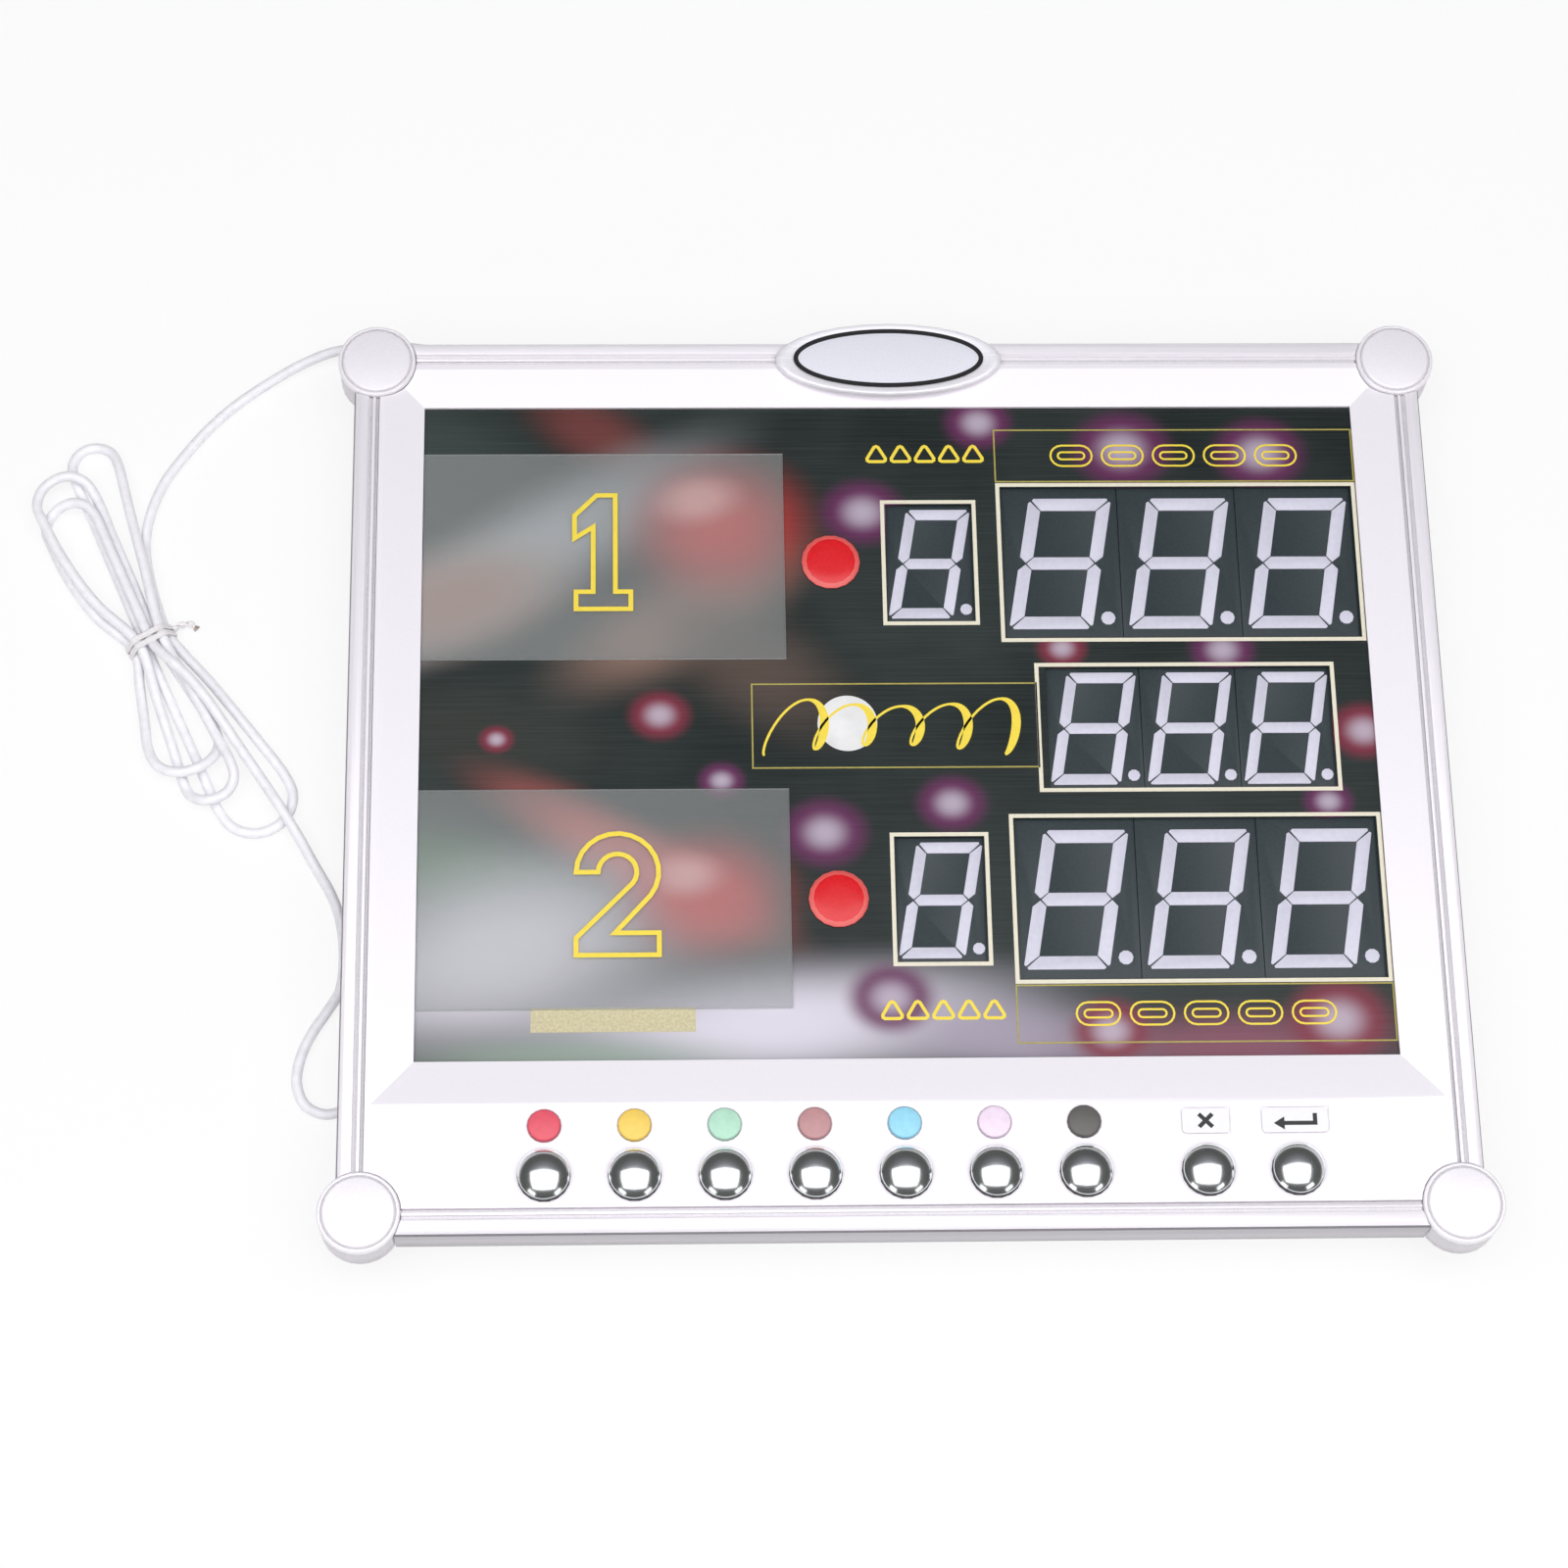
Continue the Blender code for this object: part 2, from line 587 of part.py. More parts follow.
def make_surround():
    """Window surround and button panel: a mitred loft, then its holes and recesses."""
    back = FRONT - SURROUND_WALL
    outer = (SURROUND_X, -SURROUND_Y, SURROUND_Y)
    foot = (LIP_X, SLOPE_FOOT, LIP_TOP)
    window = (DISPLAY_X, DISPLAY_BOTTOM, DISPLAY_TOP)
    steps = [
        (outer, FRONT),
        (foot, FRONT),
        (window, SURROUND_EDGE_TOP),
        (window, SURROUND_EDGE_TOP - SURROUND_EDGE),
        (foot, back),
        (outer, back),
    ]
    rings = []
    for (x, y_low, y_high), level in steps:
        rings.append([Vector((px, py, level)) for px, py in rectangle(-x, x, y_low, y_high)])
    surround = add("front_surround", lofted("front_surround", rings, True), silver_paint())

    bm = bmesh.new()
    low, high = back - OVERRUN, FRONT + OVERRUN
    floor = FRONT - RECESS_DEPTH
    places = button_places()
    for x in places:
        add_prism(bm, circle(BUTTON_RADIUS + BUTTON_CLEARANCE, ROUND, x, BUTTON_ROW), low, high)
    for x in places[:BALL_BUTTONS]:
        add_prism(bm, circle(MARKER_RADIUS + SEAT, ROUND, x, MARKER_ROW), floor, high)
    for x, width in zip(places[BALL_BUTTONS:], (CANCEL_LABEL_WIDTH, CONFIRM_LABEL_WIDTH)):
        half_x, half_y = width / 2 + SEAT, LABEL_HEIGHT / 2 + SEAT
        outline = rectangle(x - half_x, x + half_x, MARKER_ROW - half_y, MARKER_ROW + half_y)
        add_prism(bm, outline, floor, high)
    cut(surround, add("surround_holes", finish_mesh("surround_holes", bm), None))
    cut(surround, corner_cutter("surround_cope", CAP_RADIUS + SEAT, low, high))


def make_buttons():
    """Chrome caps: a dome in a rim, a skirt through the panel, a catch under it and a stem."""
    panel_back = FRONT - SURROUND_WALL
    catch_top = panel_back - SEAT
    catch_back = catch_top - BUTTON_FLANGE
    rim_top = FRONT + BUTTON_TRAVEL + BUTTON_RIM_HEIGHT
    rim_round = BUTTON_RIM_WIDTH / 2
    dome_radius = BUTTON_RADIUS - BUTTON_RIM_WIDTH
    dome_foot = rim_top - rim_round
    catch_radius = BUTTON_RADIUS + BUTTON_CLEARANCE + BUTTON_SKIRT_WALL
    profile = [
        (STEM_RADIUS, catch_back - STEM_LENGTH),
        (STEM_RADIUS, catch_back),
        (catch_radius, catch_back),
        (catch_radius, catch_top),
        (BUTTON_RADIUS, catch_top),
        (BUTTON_RADIUS, rim_top - rim_round),
        (BUTTON_RADIUS - rim_round, rim_top),
    ]
    profile += arc_profile(dome_radius, STEM_RADIUS, dome_foot, dome_foot + BUTTON_DOME_HEIGHT, 3)
    cap = turned("button", [(r, z - catch_top) for r, z in profile], ROUND)
    names = [f"button_ball_{i + 1}" for i in range(BALL_BUTTONS)] + ["button_cancel", "button_confirm"]
    for name, x in zip(names, button_places()):
        add(name, cap, chrome(), (x, BUTTON_ROW, catch_top), smooth=True)
    return catch_back - STEM_LENGTH


def make_markers():
    """A domed pad in each ball's colour."""
    foot = FRONT - RECESS_DEPTH + SEAT
    top = FRONT + MARKER_HEIGHT
    edge_share = 0.6
    edge = MARKER_HEIGHT * edge_share
    pad = [(MARKER_RADIUS, foot)]
    pad += arc_profile(MARKER_RADIUS, MARKER_RADIUS - edge, top - edge, top, 2)
    colours = [
        ("red", (0.86, 0.07, 0.10)),
        ("yellow", (0.95, 0.65, 0.10)),
        ("green", (0.20, 0.70, 0.40)),
        ("brown", (0.38, 0.10, 0.09)),
        ("blue", (0.10, 0.48, 0.80)),
        ("pink", (0.90, 0.60, 0.80)),
        ("black", (0.05, 0.05, 0.05)),
    ]
    for (colour, value), x in zip(colours, button_places()):
        name = f"marker_{colour}"
        add(name, turned(name, pad, ROUND), material(name, value, 0.45), (x, MARKER_ROW, 0), smooth=True)


def digit_outlines(character, stroke, width):
    """Seven mitred bars and a point, unslanted: outlines round the digit's middle."""
    half_h = (character - stroke) / 2
    half_w = width / 2
    reach = stroke / 2
    gap = SEGMENT_GAP
    chamfer = stroke * 0.3
    top_y = half_h + reach
    side_x = half_w + reach
    top = [
        (-side_x + chamfer + gap, top_y),
        (-half_w + reach + gap, half_h - reach),
        (half_w - reach - gap, half_h - reach),
        (side_x - chamfer - gap, top_y),
    ]
    top = [top[0], (-side_x + chamfer / 2 + 2 * gap, top_y - chamfer / 2), top[1], top[2],
           (side_x - chamfer / 2 - 2 * gap, top_y - chamfer / 2), top[3]]
    upper_right = [
        (side_x, top_y - chamfer - gap),
        (side_x - chamfer / 2, top_y - chamfer / 2 - 2 * gap),
        (half_w - reach, half_h - reach - gap),
        (half_w - reach, reach + gap),
        (half_w, gap * 1.5),
        (side_x, reach + gap),
    ]
    middle = [
        (-half_w + gap * 1.5, 0.0),
        (-half_w + reach + gap, -reach),
        (half_w - reach - gap, -reach),
        (half_w - gap * 1.5, 0.0),
        (half_w - reach - gap, reach),
        (-half_w + reach + gap, reach),
    ]
    mirrored_x = [[(-x, y) for x, y in outline[::-1]] for outline in (upper_right,)]
    uprights = [upper_right] + mirrored_x
    lower = [[(x, -y) for x, y in outline[::-1]] for outline in uprights]
    bottom = [(x, -y) for x, y in top[::-1]]
    return [top, bottom, middle] + uprights + lower


def slanted(outline):
    lean = math.tan(DIGIT_SLANT)
    return [(x + y * lean, y) for x, y in outline]


def digit_meshes(kind, pitch, height, character, width_share):
    """A module's block, and its seven light bars and point, round the middle of the module."""
    stroke_share = 0.093             # of the character's height
    point_share = 0.100              # diameter of the point
    point_gap_share = 0.0715         # point to the middle of the upright beside it
    point_drop_share = 0.418
    half_x = (pitch - MODULE_WALL_GAP) / 2
    outline = rectangle(-half_x, half_x, -height / 2, height / 2)
    block = prism(f"module_{kind}", outline, MODULE_BACK, MODULE_TOP)
    shapes = digit_outlines(character, character * stroke_share, character * width_share)
    shapes = [slanted(shape) for shape in shapes]
    point_x = character * (width_share / 2 + point_gap_share)
    point_y = -character * point_drop_share
    shapes.append(circle(character * point_share / 2, SMALL, point_x, point_y))
    bm = bmesh.new()
    for shape in shapes:
        add_prism(bm, shape, MODULE_TOP - SEGMENT_ROOT, MODULE_TOP + SEGMENT_RISE)
    return block, finish_mesh(f"bars_{kind}", bm)


def make_digits():
    """LED modules in rows, each with its light bars, which rise a little into the panel's window."""
    big = digit_meshes("big", BIG_PITCH, BIG_HEIGHT, BIG_CHARACTER, DIGIT_WIDTH_SHARE)
    small = digit_meshes("small", SMALL_PITCH, SMALL_HEIGHT, SMALL_CHARACTER, DIGIT_WIDTH_SHARE)
    narrow = digit_meshes("narrow", FRAMES_PITCH, SMALL_HEIGHT, SMALL_CHARACTER, NARROW_DIGIT_WIDTH_SHARE)
    rows = [
        ("score_digit_a", big, BIG_PITCH, 3, SCORE_X, ROW_A),
        ("frames_digit_a", narrow, FRAMES_PITCH, 1, FRAMES_X, ROW_A),
        ("break_digit", small, SMALL_PITCH, 3, BREAK_X, BREAK_Y),
        ("score_digit_b", big, BIG_PITCH, 3, SCORE_X, ROW_B),
        ("frames_digit_b", narrow, FRAMES_PITCH, 1, FRAMES_X, ROW_B),
    ]
    for row, (block, bars), pitch, count, x, y in rows:
        for i in range(count):
            name = row if count == 1 else f"{row}_{i + 1}"
            place = (x + (i - (count - 1) / 2) * pitch, y, 0)
            module = add(name, block, dark_plastic(), place)
            join(module, add(f"{name}_bars", bars, None, place))


def make_display():
    """Printed panel with its five windows, the two name plates and the two turn lamps."""
    over = PANEL_OVERLAP
    outline = rectangle(-DISPLAY_X - over, DISPLAY_X + over, DISPLAY_BOTTOM - over, DISPLAY_TOP + over)
    finish = material("printed_panel", (0.04, 0.05, 0.05), 0.3)
    panel = add("display_panel", prism("display_panel", outline, PANEL_BACK, PANEL_TOP), finish)
    bm = bmesh.new()
    windows = [
        (SCORE_X, ROW_A, SCORE_WIDTH, BIG_HEIGHT),
        (SCORE_X, ROW_B, SCORE_WIDTH, BIG_HEIGHT),
        (BREAK_X, BREAK_Y, BREAK_WIDTH, SMALL_HEIGHT),
        (FRAMES_X, ROW_A, FRAMES_PITCH, SMALL_HEIGHT),
        (FRAMES_X, ROW_B, FRAMES_PITCH, SMALL_HEIGHT),
    ]
    for x, y, width, height in windows:
        half_x, half_y = width / 2 - WINDOW_BORDER / 2, height / 2 - WINDOW_BORDER
        hole = rectangle(x - half_x, x + half_x, y - half_y, y + half_y)
        add_prism(bm, hole, PANEL_BACK - OVERRUN, PANEL_TOP + OVERRUN)
    for y in (ROW_A, ROW_B):
        hole = circle(LAMP_LENS_RADIUS + SEAT, ROUND, LAMP_X, y)
        add_prism(bm, hole, PANEL_BACK - OVERRUN, PANEL_TOP + OVERRUN)
    cut(panel, add("panel_windows", finish_mesh("panel_windows", bm), None))

    plate_finish = material("frosted_plate", (0.75, 0.77, 0.76), 0.35, alpha=0.35)
    lamp_finish = material("lamp_red", (0.75, 0.01, 0.02), 0.3)
    low = PANEL_TOP + SEAT
    foot = BOARD_TOP + SEAT
    lamp_top = low + LAMP_RISE
    lens = [
        (LAMP_LENS_RADIUS, foot),
        (LAMP_LENS_RADIUS, low),
        (LAMP_RADIUS, low),
        (LAMP_RADIUS, low + LAMP_RISE / 2),
        (LAMP_LENS_RADIUS, lamp_top),
        (LAMP_LENS_RADIUS / 2, lamp_top + LAMP_RISE / 4),
    ]
    for letter, side, row in (("a", 1, ROW_A), ("b", -1, ROW_B)):
        middle = DISPLAY_MIDDLE + side * PLATE_OFFSET
        corners_of_plate = rectangle(PLATE_LEFT, PLATE_RIGHT, middle - PLATE_HEIGHT / 2, middle + PLATE_HEIGHT / 2)
        name = f"name_plate_{letter}"
        add(name, prism(name, corners_of_plate, low, low + PLATE_THICKNESS), plate_finish)
        name = f"turn_lamp_{letter}"
        add(name, turned(name, lens, ROUND), lamp_finish, (LAMP_X, row, 0), smooth=True)


def make_badge():
    """Oval badge: a rimmed base that bridges the top rail, and a plate in its recess."""
    low = FRONT + BAR_RISE + SEAT
    top = low + BADGE_RISE
    middle = POST_Y - BADGE_DROP
    recess_width = BADGE_PLATE_WIDTH + 2 * SEAT
    recess_height = BADGE_PLATE_HEIGHT + 2 * SEAT
    edge_level = low + BADGE_RISE / 3
    shoulder = top - BADGE_RISE / 6
    border_shares = [0.70, 1.00, 0.87, 0.70, 0.45]
    steps = []
    for share, level in zip(border_shares, (low, edge_level, shoulder, top, shoulder)):
        width = recess_width + 2 * BADGE_BORDER_X * share
        steps.append((width, recess_height + 2 * BADGE_BORDER_Y * share, level))
    steps.append((recess_width, recess_height, shoulder))
    steps.append((recess_width, recess_height, shoulder - BADGE_RECESS))
    rings = [[Vector((x, y, z)) for x, y in oval(width, height)] for width, height, z in steps]
    add("badge_base", lofted("badge_base", rings), silver(), (0, middle, 0), smooth=True)
    foot = shoulder - BADGE_RECESS + SEAT
    plate_top = foot + BADGE_PLATE_RISE
    edge = SEAT
    steps = [
        (BADGE_PLATE_WIDTH, BADGE_PLATE_HEIGHT, foot),
        (BADGE_PLATE_WIDTH, BADGE_PLATE_HEIGHT, plate_top - edge),
        (BADGE_PLATE_WIDTH - 2 * edge, BADGE_PLATE_HEIGHT - 2 * edge, plate_top),
    ]
    rings = [[Vector((x, y, z)) for x, y in oval(width, height)] for width, height, z in steps]
    finish = material("badge_plate", (0.74, 0.74, 0.80), 0.3)
    add("badge_plate", lofted("badge_plate", rings), finish, (0, middle, 0), smooth=True)


def screw_places():
    """Plan positions of the rear panel's screws, in the middle of the case's lap."""
    inset = CASE_WALL + CASE_LAP / 2
    x = CASE_X - inset
    low, high = CASE_BOTTOM + inset, CASE_TOP - inset
    return [(side * x, y) for side in (-1, 1) for y in (low, (low + high) / 2, high)] + [(0, low), (0, high)]


def make_case():
    """Sheet ring with its two flanges, and the rear panel with keyholes, both bored for screws."""
    wall, lap = CASE_WALL, CASE_LAP
    flange_x = FRAME_X - RAIL_WALL - CASE_FLANGE_GAP - CASE_X
    flange_top = FRAME_Y - RAIL_WALL - CASE_FLANGE_GAP - CASE_TOP
    flange_bottom = FRAME_Y - RAIL_WALL - CASE_FLANGE_GAP + CASE_BOTTOM
    steps = [
        (0, 0, 0, CASE_BACK),
        (0, 0, 0, FLANGE_BACK),
        (flange_x, flange_bottom, flange_top, FLANGE_BACK),
        (flange_x, flange_bottom, flange_top, FLANGE_TOP),
        (-wall, -wall, -wall, FLANGE_TOP),
        (-wall, -wall, -wall, CASE_BACK + wall),
        (-wall - lap, -wall - lap, -wall - lap, CASE_BACK + wall),
        (-wall - lap, -wall - lap, -wall - lap, CASE_BACK),
    ]
    rings = []
    for out_x, out_low, out_high, z in steps:
        radius = max(CASE_CORNER + min(out_x, 0), wall)
        outline = rounded_rectangle(
            -CASE_X - out_x, CASE_X + out_x, CASE_BOTTOM - out_low, CASE_TOP + out_high, radius, 3)
        rings.append([Vector((x, y, z)) for x, y in outline])
    case = add("rear_case", lofted("rear_case", rings, True), case_sheet())
    cut(case, corner_cutter("case_cope", POST_RADIUS + SEAT, FLANGE_BACK - OVERRUN, FLANGE_TOP + OVERRUN))
    bm = bmesh.new()
    for x, y in screw_places():
        hole = circle(PANEL_SCREW_RADIUS + SEAT, SMALL, x, y)
        add_prism(bm, hole, CASE_BACK - OVERRUN, CASE_BACK + wall + OVERRUN)
    side = [[Vector((x + gland_x(), CASE_TOP + y, z + gland_z())) for x, z in circle(GLAND_RADIUS + SEAT, ROUND)]
            for y in (-wall - OVERRUN, OVERRUN)]
    add_loft(bm, side)
    cut(case, add("case_holes", finish_mesh("case_holes", bm), None))

    inset = SEAT
    outline = rounded_rectangle(
        -CASE_X + inset, CASE_X - inset, CASE_BOTTOM + inset, CASE_TOP - inset, CASE_CORNER, 3)
    panel = add("rear_panel", prism("rear_panel", outline, 0.0, REAR_PANEL), case_sheet())
    bm = bmesh.new()
    head, shank = PANEL_SCREW_HEAD + SEAT, PANEL_SCREW_RADIUS + SEAT
    countersink = [
        (head, -OVERRUN),
        (head, 0.0),
        (shank, REAR_PANEL),
        (shank, REAR_PANEL + OVERRUN),
    ]
    for x, y in screw_places():
        add_loft(bm, turned_rings(countersink, SMALL, x, y))
    for side in (-1, 1):
        hole = keyhole(side * KEYHOLE_SPACING / 2, CASE_TOP - KEYHOLE_FROM_TOP)
        add_prism(bm, hole, -OVERRUN, REAR_PANEL + OVERRUN)
    cut(panel, add("rear_panel_holes", finish_mesh("rear_panel_holes", bm), None))
    return panel


def keyhole(x, y):
    """Outline of a keyhole: a round mouth that a screw head passes, and a slot above it."""
    start = math.asin(KEYHOLE_SLOT / KEYHOLE_RADIUS)
    steps = 12
    points = []
    for i in range(steps + 1):
        angle = math.pi / 2 + start + (2 * math.pi - 2 * start) * i / steps
        points.append((x + KEYHOLE_RADIUS * math.cos(angle), y + KEYHOLE_RADIUS * math.sin(angle)))
    for i in range(steps // 2 + 1):
        angle = 2 * math.pi * i / steps
        points.append((x + KEYHOLE_SLOT * math.cos(angle), y + KEYHOLE_LENGTH + KEYHOLE_SLOT * math.sin(angle)))
    return points


def gland_x():
    return -CASE_X + GLAND_FROM_SIDE


def gland_z():
    return (CASE_BACK + CASE_WALL + FLANGE_BACK) / 2


def make_boards(stem_end, panel):
    """Display board, key board with its switches, power board, their standoffs and the ribbon."""
    margin = BOARD_MARGIN
    board_left = LAMP_X - LAMP_RADIUS - margin
    board_right = SCORE_X + SCORE_WIDTH / 2
    board_low = ROW_B - BIG_HEIGHT / 2 - 2 * margin
    board_high = ROW_A + BIG_HEIGHT / 2 + margin
    outline = rectangle(board_left, board_right, board_low, board_high)
    add("display_board", prism("display_board", outline, BOARD_BACK, BOARD_TOP), board_green())

    places = button_places()
    well_floor = stem_end - BUTTON_TRAVEL - SEAT
    key_top = well_floor - SWITCH_FLOOR
    key_back = key_top - BOARD_THICKNESS
    end_margin = SWITCH_SIZE + margin
    key_left, key_right = places[0] - end_margin, places[-1] + end_margin
    key_low, key_high = KEY_BOARD_Y - KEY_BOARD_HEIGHT / 2, KEY_BOARD_Y + KEY_BOARD_HEIGHT / 2
    outline = rectangle(key_left, key_right, key_low, key_high)
    board = add("key_board", prism("key_board", outline, key_back, key_top), board_green())
    housings, wells = bmesh.new(), bmesh.new()
    switch_top = key_top + SWITCH_HEIGHT
    half = SWITCH_SIZE / 2
    for x in places:
        outline = rectangle(x - half, x + half, BUTTON_ROW - half, BUTTON_ROW + half)
        add_prism(housings, outline, key_top - BOARD_THICKNESS / 2, switch_top)
        add_prism(wells, circle(STEM_RADIUS + SEAT, SMALL, x, BUTTON_ROW), well_floor, switch_top + OVERRUN)
    join(board, add("switch_housings", finish_mesh("switch_housings", housings), None))
    cut(board, add("switch_wells", finish_mesh("switch_wells", wells), None))

    bm = bmesh.new()
    low = REAR_PANEL / 2
    inset = SPACER_RADIUS + margin / 2
    lap_edge = CASE_X - CASE_WALL - CASE_LAP
    right_x = lap_edge - inset
    left_x = board_left + inset
    for x in (left_x, (left_x + right_x) / 2, right_x):
        for y in (board_low + inset, BREAK_Y, board_high - inset):
            add_prism(bm, circle(SPACER_RADIUS, 6, x, y), low, BOARD_BACK - SEAT)
    for x in (key_left + inset, (places[2] + places[3]) / 2, (places[6] + places[7]) / 2, key_right - inset):
        add_prism(bm, circle(SPACER_RADIUS, 6, x, key_high - inset), low, key_back - SEAT)
    power_x = -lap_edge + margin + POWER_BOARD_X / 2
    power_y = CASE_TOP - KEYHOLE_FROM_TOP - KEYHOLE_RADIUS - margin - POWER_BOARD_Y / 2
    half_x, half_y = POWER_BOARD_X / 2 - inset, POWER_BOARD_Y / 2 - inset
    power_level = REAR_PANEL + POWER_SPACER
    for side_x in (-1, 1):
        for side_y in (-1, 1):
            spacer = circle(SPACER_RADIUS, 6, power_x + side_x * half_x, power_y + side_y * half_y)
            add_prism(bm, spacer, low, power_level)
    join(panel, add("standoffs", finish_mesh("standoffs", bm), None))
    make_power_board(power_x, power_y, power_level + SEAT)
    make_ribbon((places[BALL_BUTTONS - 1] + places[BALL_BUTTONS]) / 2, board_low, key_top, key_high)


def make_power_board(x, y, level):
    """Regulator board: finned heat sink, three capacitors and the lead's terminal block."""
    top = level + BOARD_THICKNESS
    root = level + BOARD_THICKNESS / 2
    half_x, half_y = POWER_BOARD_X / 2, POWER_BOARD_Y / 2
    outline = rectangle(x - half_x, x + half_x, y - half_y, y + half_y)
    board = add("power_board", prism("power_board", outline, level, top), board_green())
    bm = bmesh.new()
    sink_left = x - half_x + BOARD_MARGIN
    fin = POWER_BOARD_X / 2 / (2 * HEATSINK_FINS - 1)
    sink_low, sink_high = y - half_y + BOARD_MARGIN, y
    comb = [(sink_left, sink_low)]
    for i in range(HEATSINK_FINS - 1):
        start = sink_left + 2 * i * fin
        comb += [(start + fin, sink_low), (start + fin, sink_high - fin)]
        comb += [(start + 2 * fin, sink_high - fin), (start + 2 * fin, sink_low)]
    sink_right = sink_left + (2 * HEATSINK_FINS - 1) * fin
    comb += [(sink_right, sink_low), (sink_right, sink_high), (sink_left, sink_high)]
    add_prism(bm, comb, root, top + HEATSINK_HEIGHT)
    can_x = x + half_x - BOARD_MARGIN - CAPACITOR_RADIUS
    can_step = 2 * CAPACITOR_RADIUS + BOARD_MARGIN / 4
    for i in range(3):
        can = circle(CAPACITOR_RADIUS, SMALL, can_x, sink_low + CAPACITOR_RADIUS + i * can_step)
        add_prism(bm, can, root, top + CAPACITOR_HEIGHT)
    block_low = sink_high + BOARD_MARGIN / 2
    block = rectangle(sink_left, sink_left + 2 * BOARD_MARGIN, block_low, block_low + 2 * BOARD_MARGIN)
    add_prism(bm, block, root, top + CAPACITOR_HEIGHT)
    join(board, add("power_parts", finish_mesh("power_parts", bm), None))


def make_ribbon(x, board_low, key_top, key_high):
    """Flat cable from the edge of the display board to the edge of the key board."""
    half = RIBBON_WIDTH / 2
    plug = RIBBON_PLUG_DEPTH
    start_y = board_low + plug / 2 + SEAT
    end_y = key_high - plug / 2 - SEAT
    start_z = BOARD_TOP + SEAT
    end_z = key_top + SEAT
    thick = RIBBON_THICKNESS
    high_z = start_z + RIBBON_PLUG_HEIGHT
    far_z = end_z + RIBBON_PLUG_HEIGHT
    side = [
        (start_y + plug / 2, start_z),
        (start_y + plug / 2, high_z),
        (start_y - plug / 2, high_z),
        (end_y + plug / 2, far_z),
        (end_y - plug / 2, far_z),
        (end_y - plug / 2, end_z),
        (end_y + plug / 2, end_z),
        (end_y + plug / 2, far_z - thick),
        (start_y - plug / 2, high_z - thick),
        (start_y - plug / 2, start_z),
    ]
    rings = [[Vector((px, y, z)) for y, z in side] for px in (x - half, x + half)]
    finish = material("ribbon_grey", (0.45, 0.46, 0.48), 0.6)
    add("ribbon_cable", lofted("ribbon_cable", rings), finish)


def along_y(profile, x, y, z, sides):
    """Rings of a shape turned about an axis towards +Y, from (radius, distance) pairs."""
    return [[Vector((x + px, y + distance, z - pz)) for px, pz in circle(r, sides)] for r, distance in profile]


def make_gland():
    """Strain relief in the case's top wall: a flange against the wall and a tapered sleeve."""
    x, y, z = gland_x(), CASE_TOP + SEAT, gland_z()
    inside = -CASE_WALL - SEAT - GLAND_FLANGE
    profile = [
        (GLAND_RADIUS, inside),
        (GLAND_RADIUS, 0.0),
        (GLAND_FLANGE_RADIUS, 0.0),
        (GLAND_FLANGE_RADIUS, GLAND_FLANGE),
        (GLAND_RADIUS, GLAND_FLANGE),
        (GLAND_TIP_RADIUS, GLAND_LENGTH),
        (CORD_DIAMETER / 2 + SEAT, GLAND_LENGTH),
        (CORD_DIAMETER / 2 + SEAT, inside),
    ]
    mesh = lofted("cord_gland", along_y(profile, x, y, z, ROUND), True)
    add("cord_gland", mesh, dark_plastic(), smooth=True)


def rest_level():
    """Height of the lead's middle where it lies."""
    return CORD_DIAMETER / 2 + CORD_FLOOR_GAP


def cord(name, points, resolution):
    """A stretch of the lead: a round tube through its points, placed at the gland."""
    curve = bpy.data.curves.new(name, "CURVE")
    curve.dimensions = "3D"
    curve.bevel_depth = CORD_DIAMETER / 2
    curve.bevel_resolution = resolution
    curve.use_fill_caps = True
    spline = curve.splines.new("POLY")
    spline.points.add(len(points) - 1)
    for place, point in zip(spline.points, points):
        place.co = (*point, 1.0)
    add(name, curve, white_sleeve(), (gland_x(), CASE_TOP, 0))


def smooth_curve(route, step):
    """Points about a step apart on a smooth curve through a route, whose two ends stay straight."""
    fine = [route[1]]
    parts = 20
    for a, b, c, d in zip(route, route[1:], route[2:], route[3:]):
        for i in range(1, parts + 1):
            t = i / parts
            bend = (2 * a - 5 * b + 4 * c - d) * t ** 2 + (3 * b - a - 3 * c + d) * t ** 3
            fine.append(b + ((c - a) * t + bend) / 2)
    lengths = [0.0]
    for low, high in zip(fine, fine[1:]):
        lengths.append(lengths[-1] + (high - low).length)
    count = round(lengths[-1] / step)
    points = [route[0]]
    part = 0
    for i in range(count + 1):
        wanted = lengths[-1] * i / count
        while part < len(fine) - 2 and lengths[part + 1] < wanted:
            part += 1
        share = (wanted - lengths[part]) / (lengths[part + 1] - lengths[part])
        points.append(fine[part].lerp(fine[part + 1], share))
    return points + [route[-1]]


def hank_point(along, across, layers):
    """A point of the hank, from the gland's place."""
    cosine, sine = math.cos(HANK_LINE), math.sin(HANK_LINE)
    x = HANK_X + along * cosine + across * sine
    y = HANK_Y + along * sine - across * cosine
    return Vector((x, y, rest_level() + layers * (CORD_DIAMETER + LAYER_GAP)))


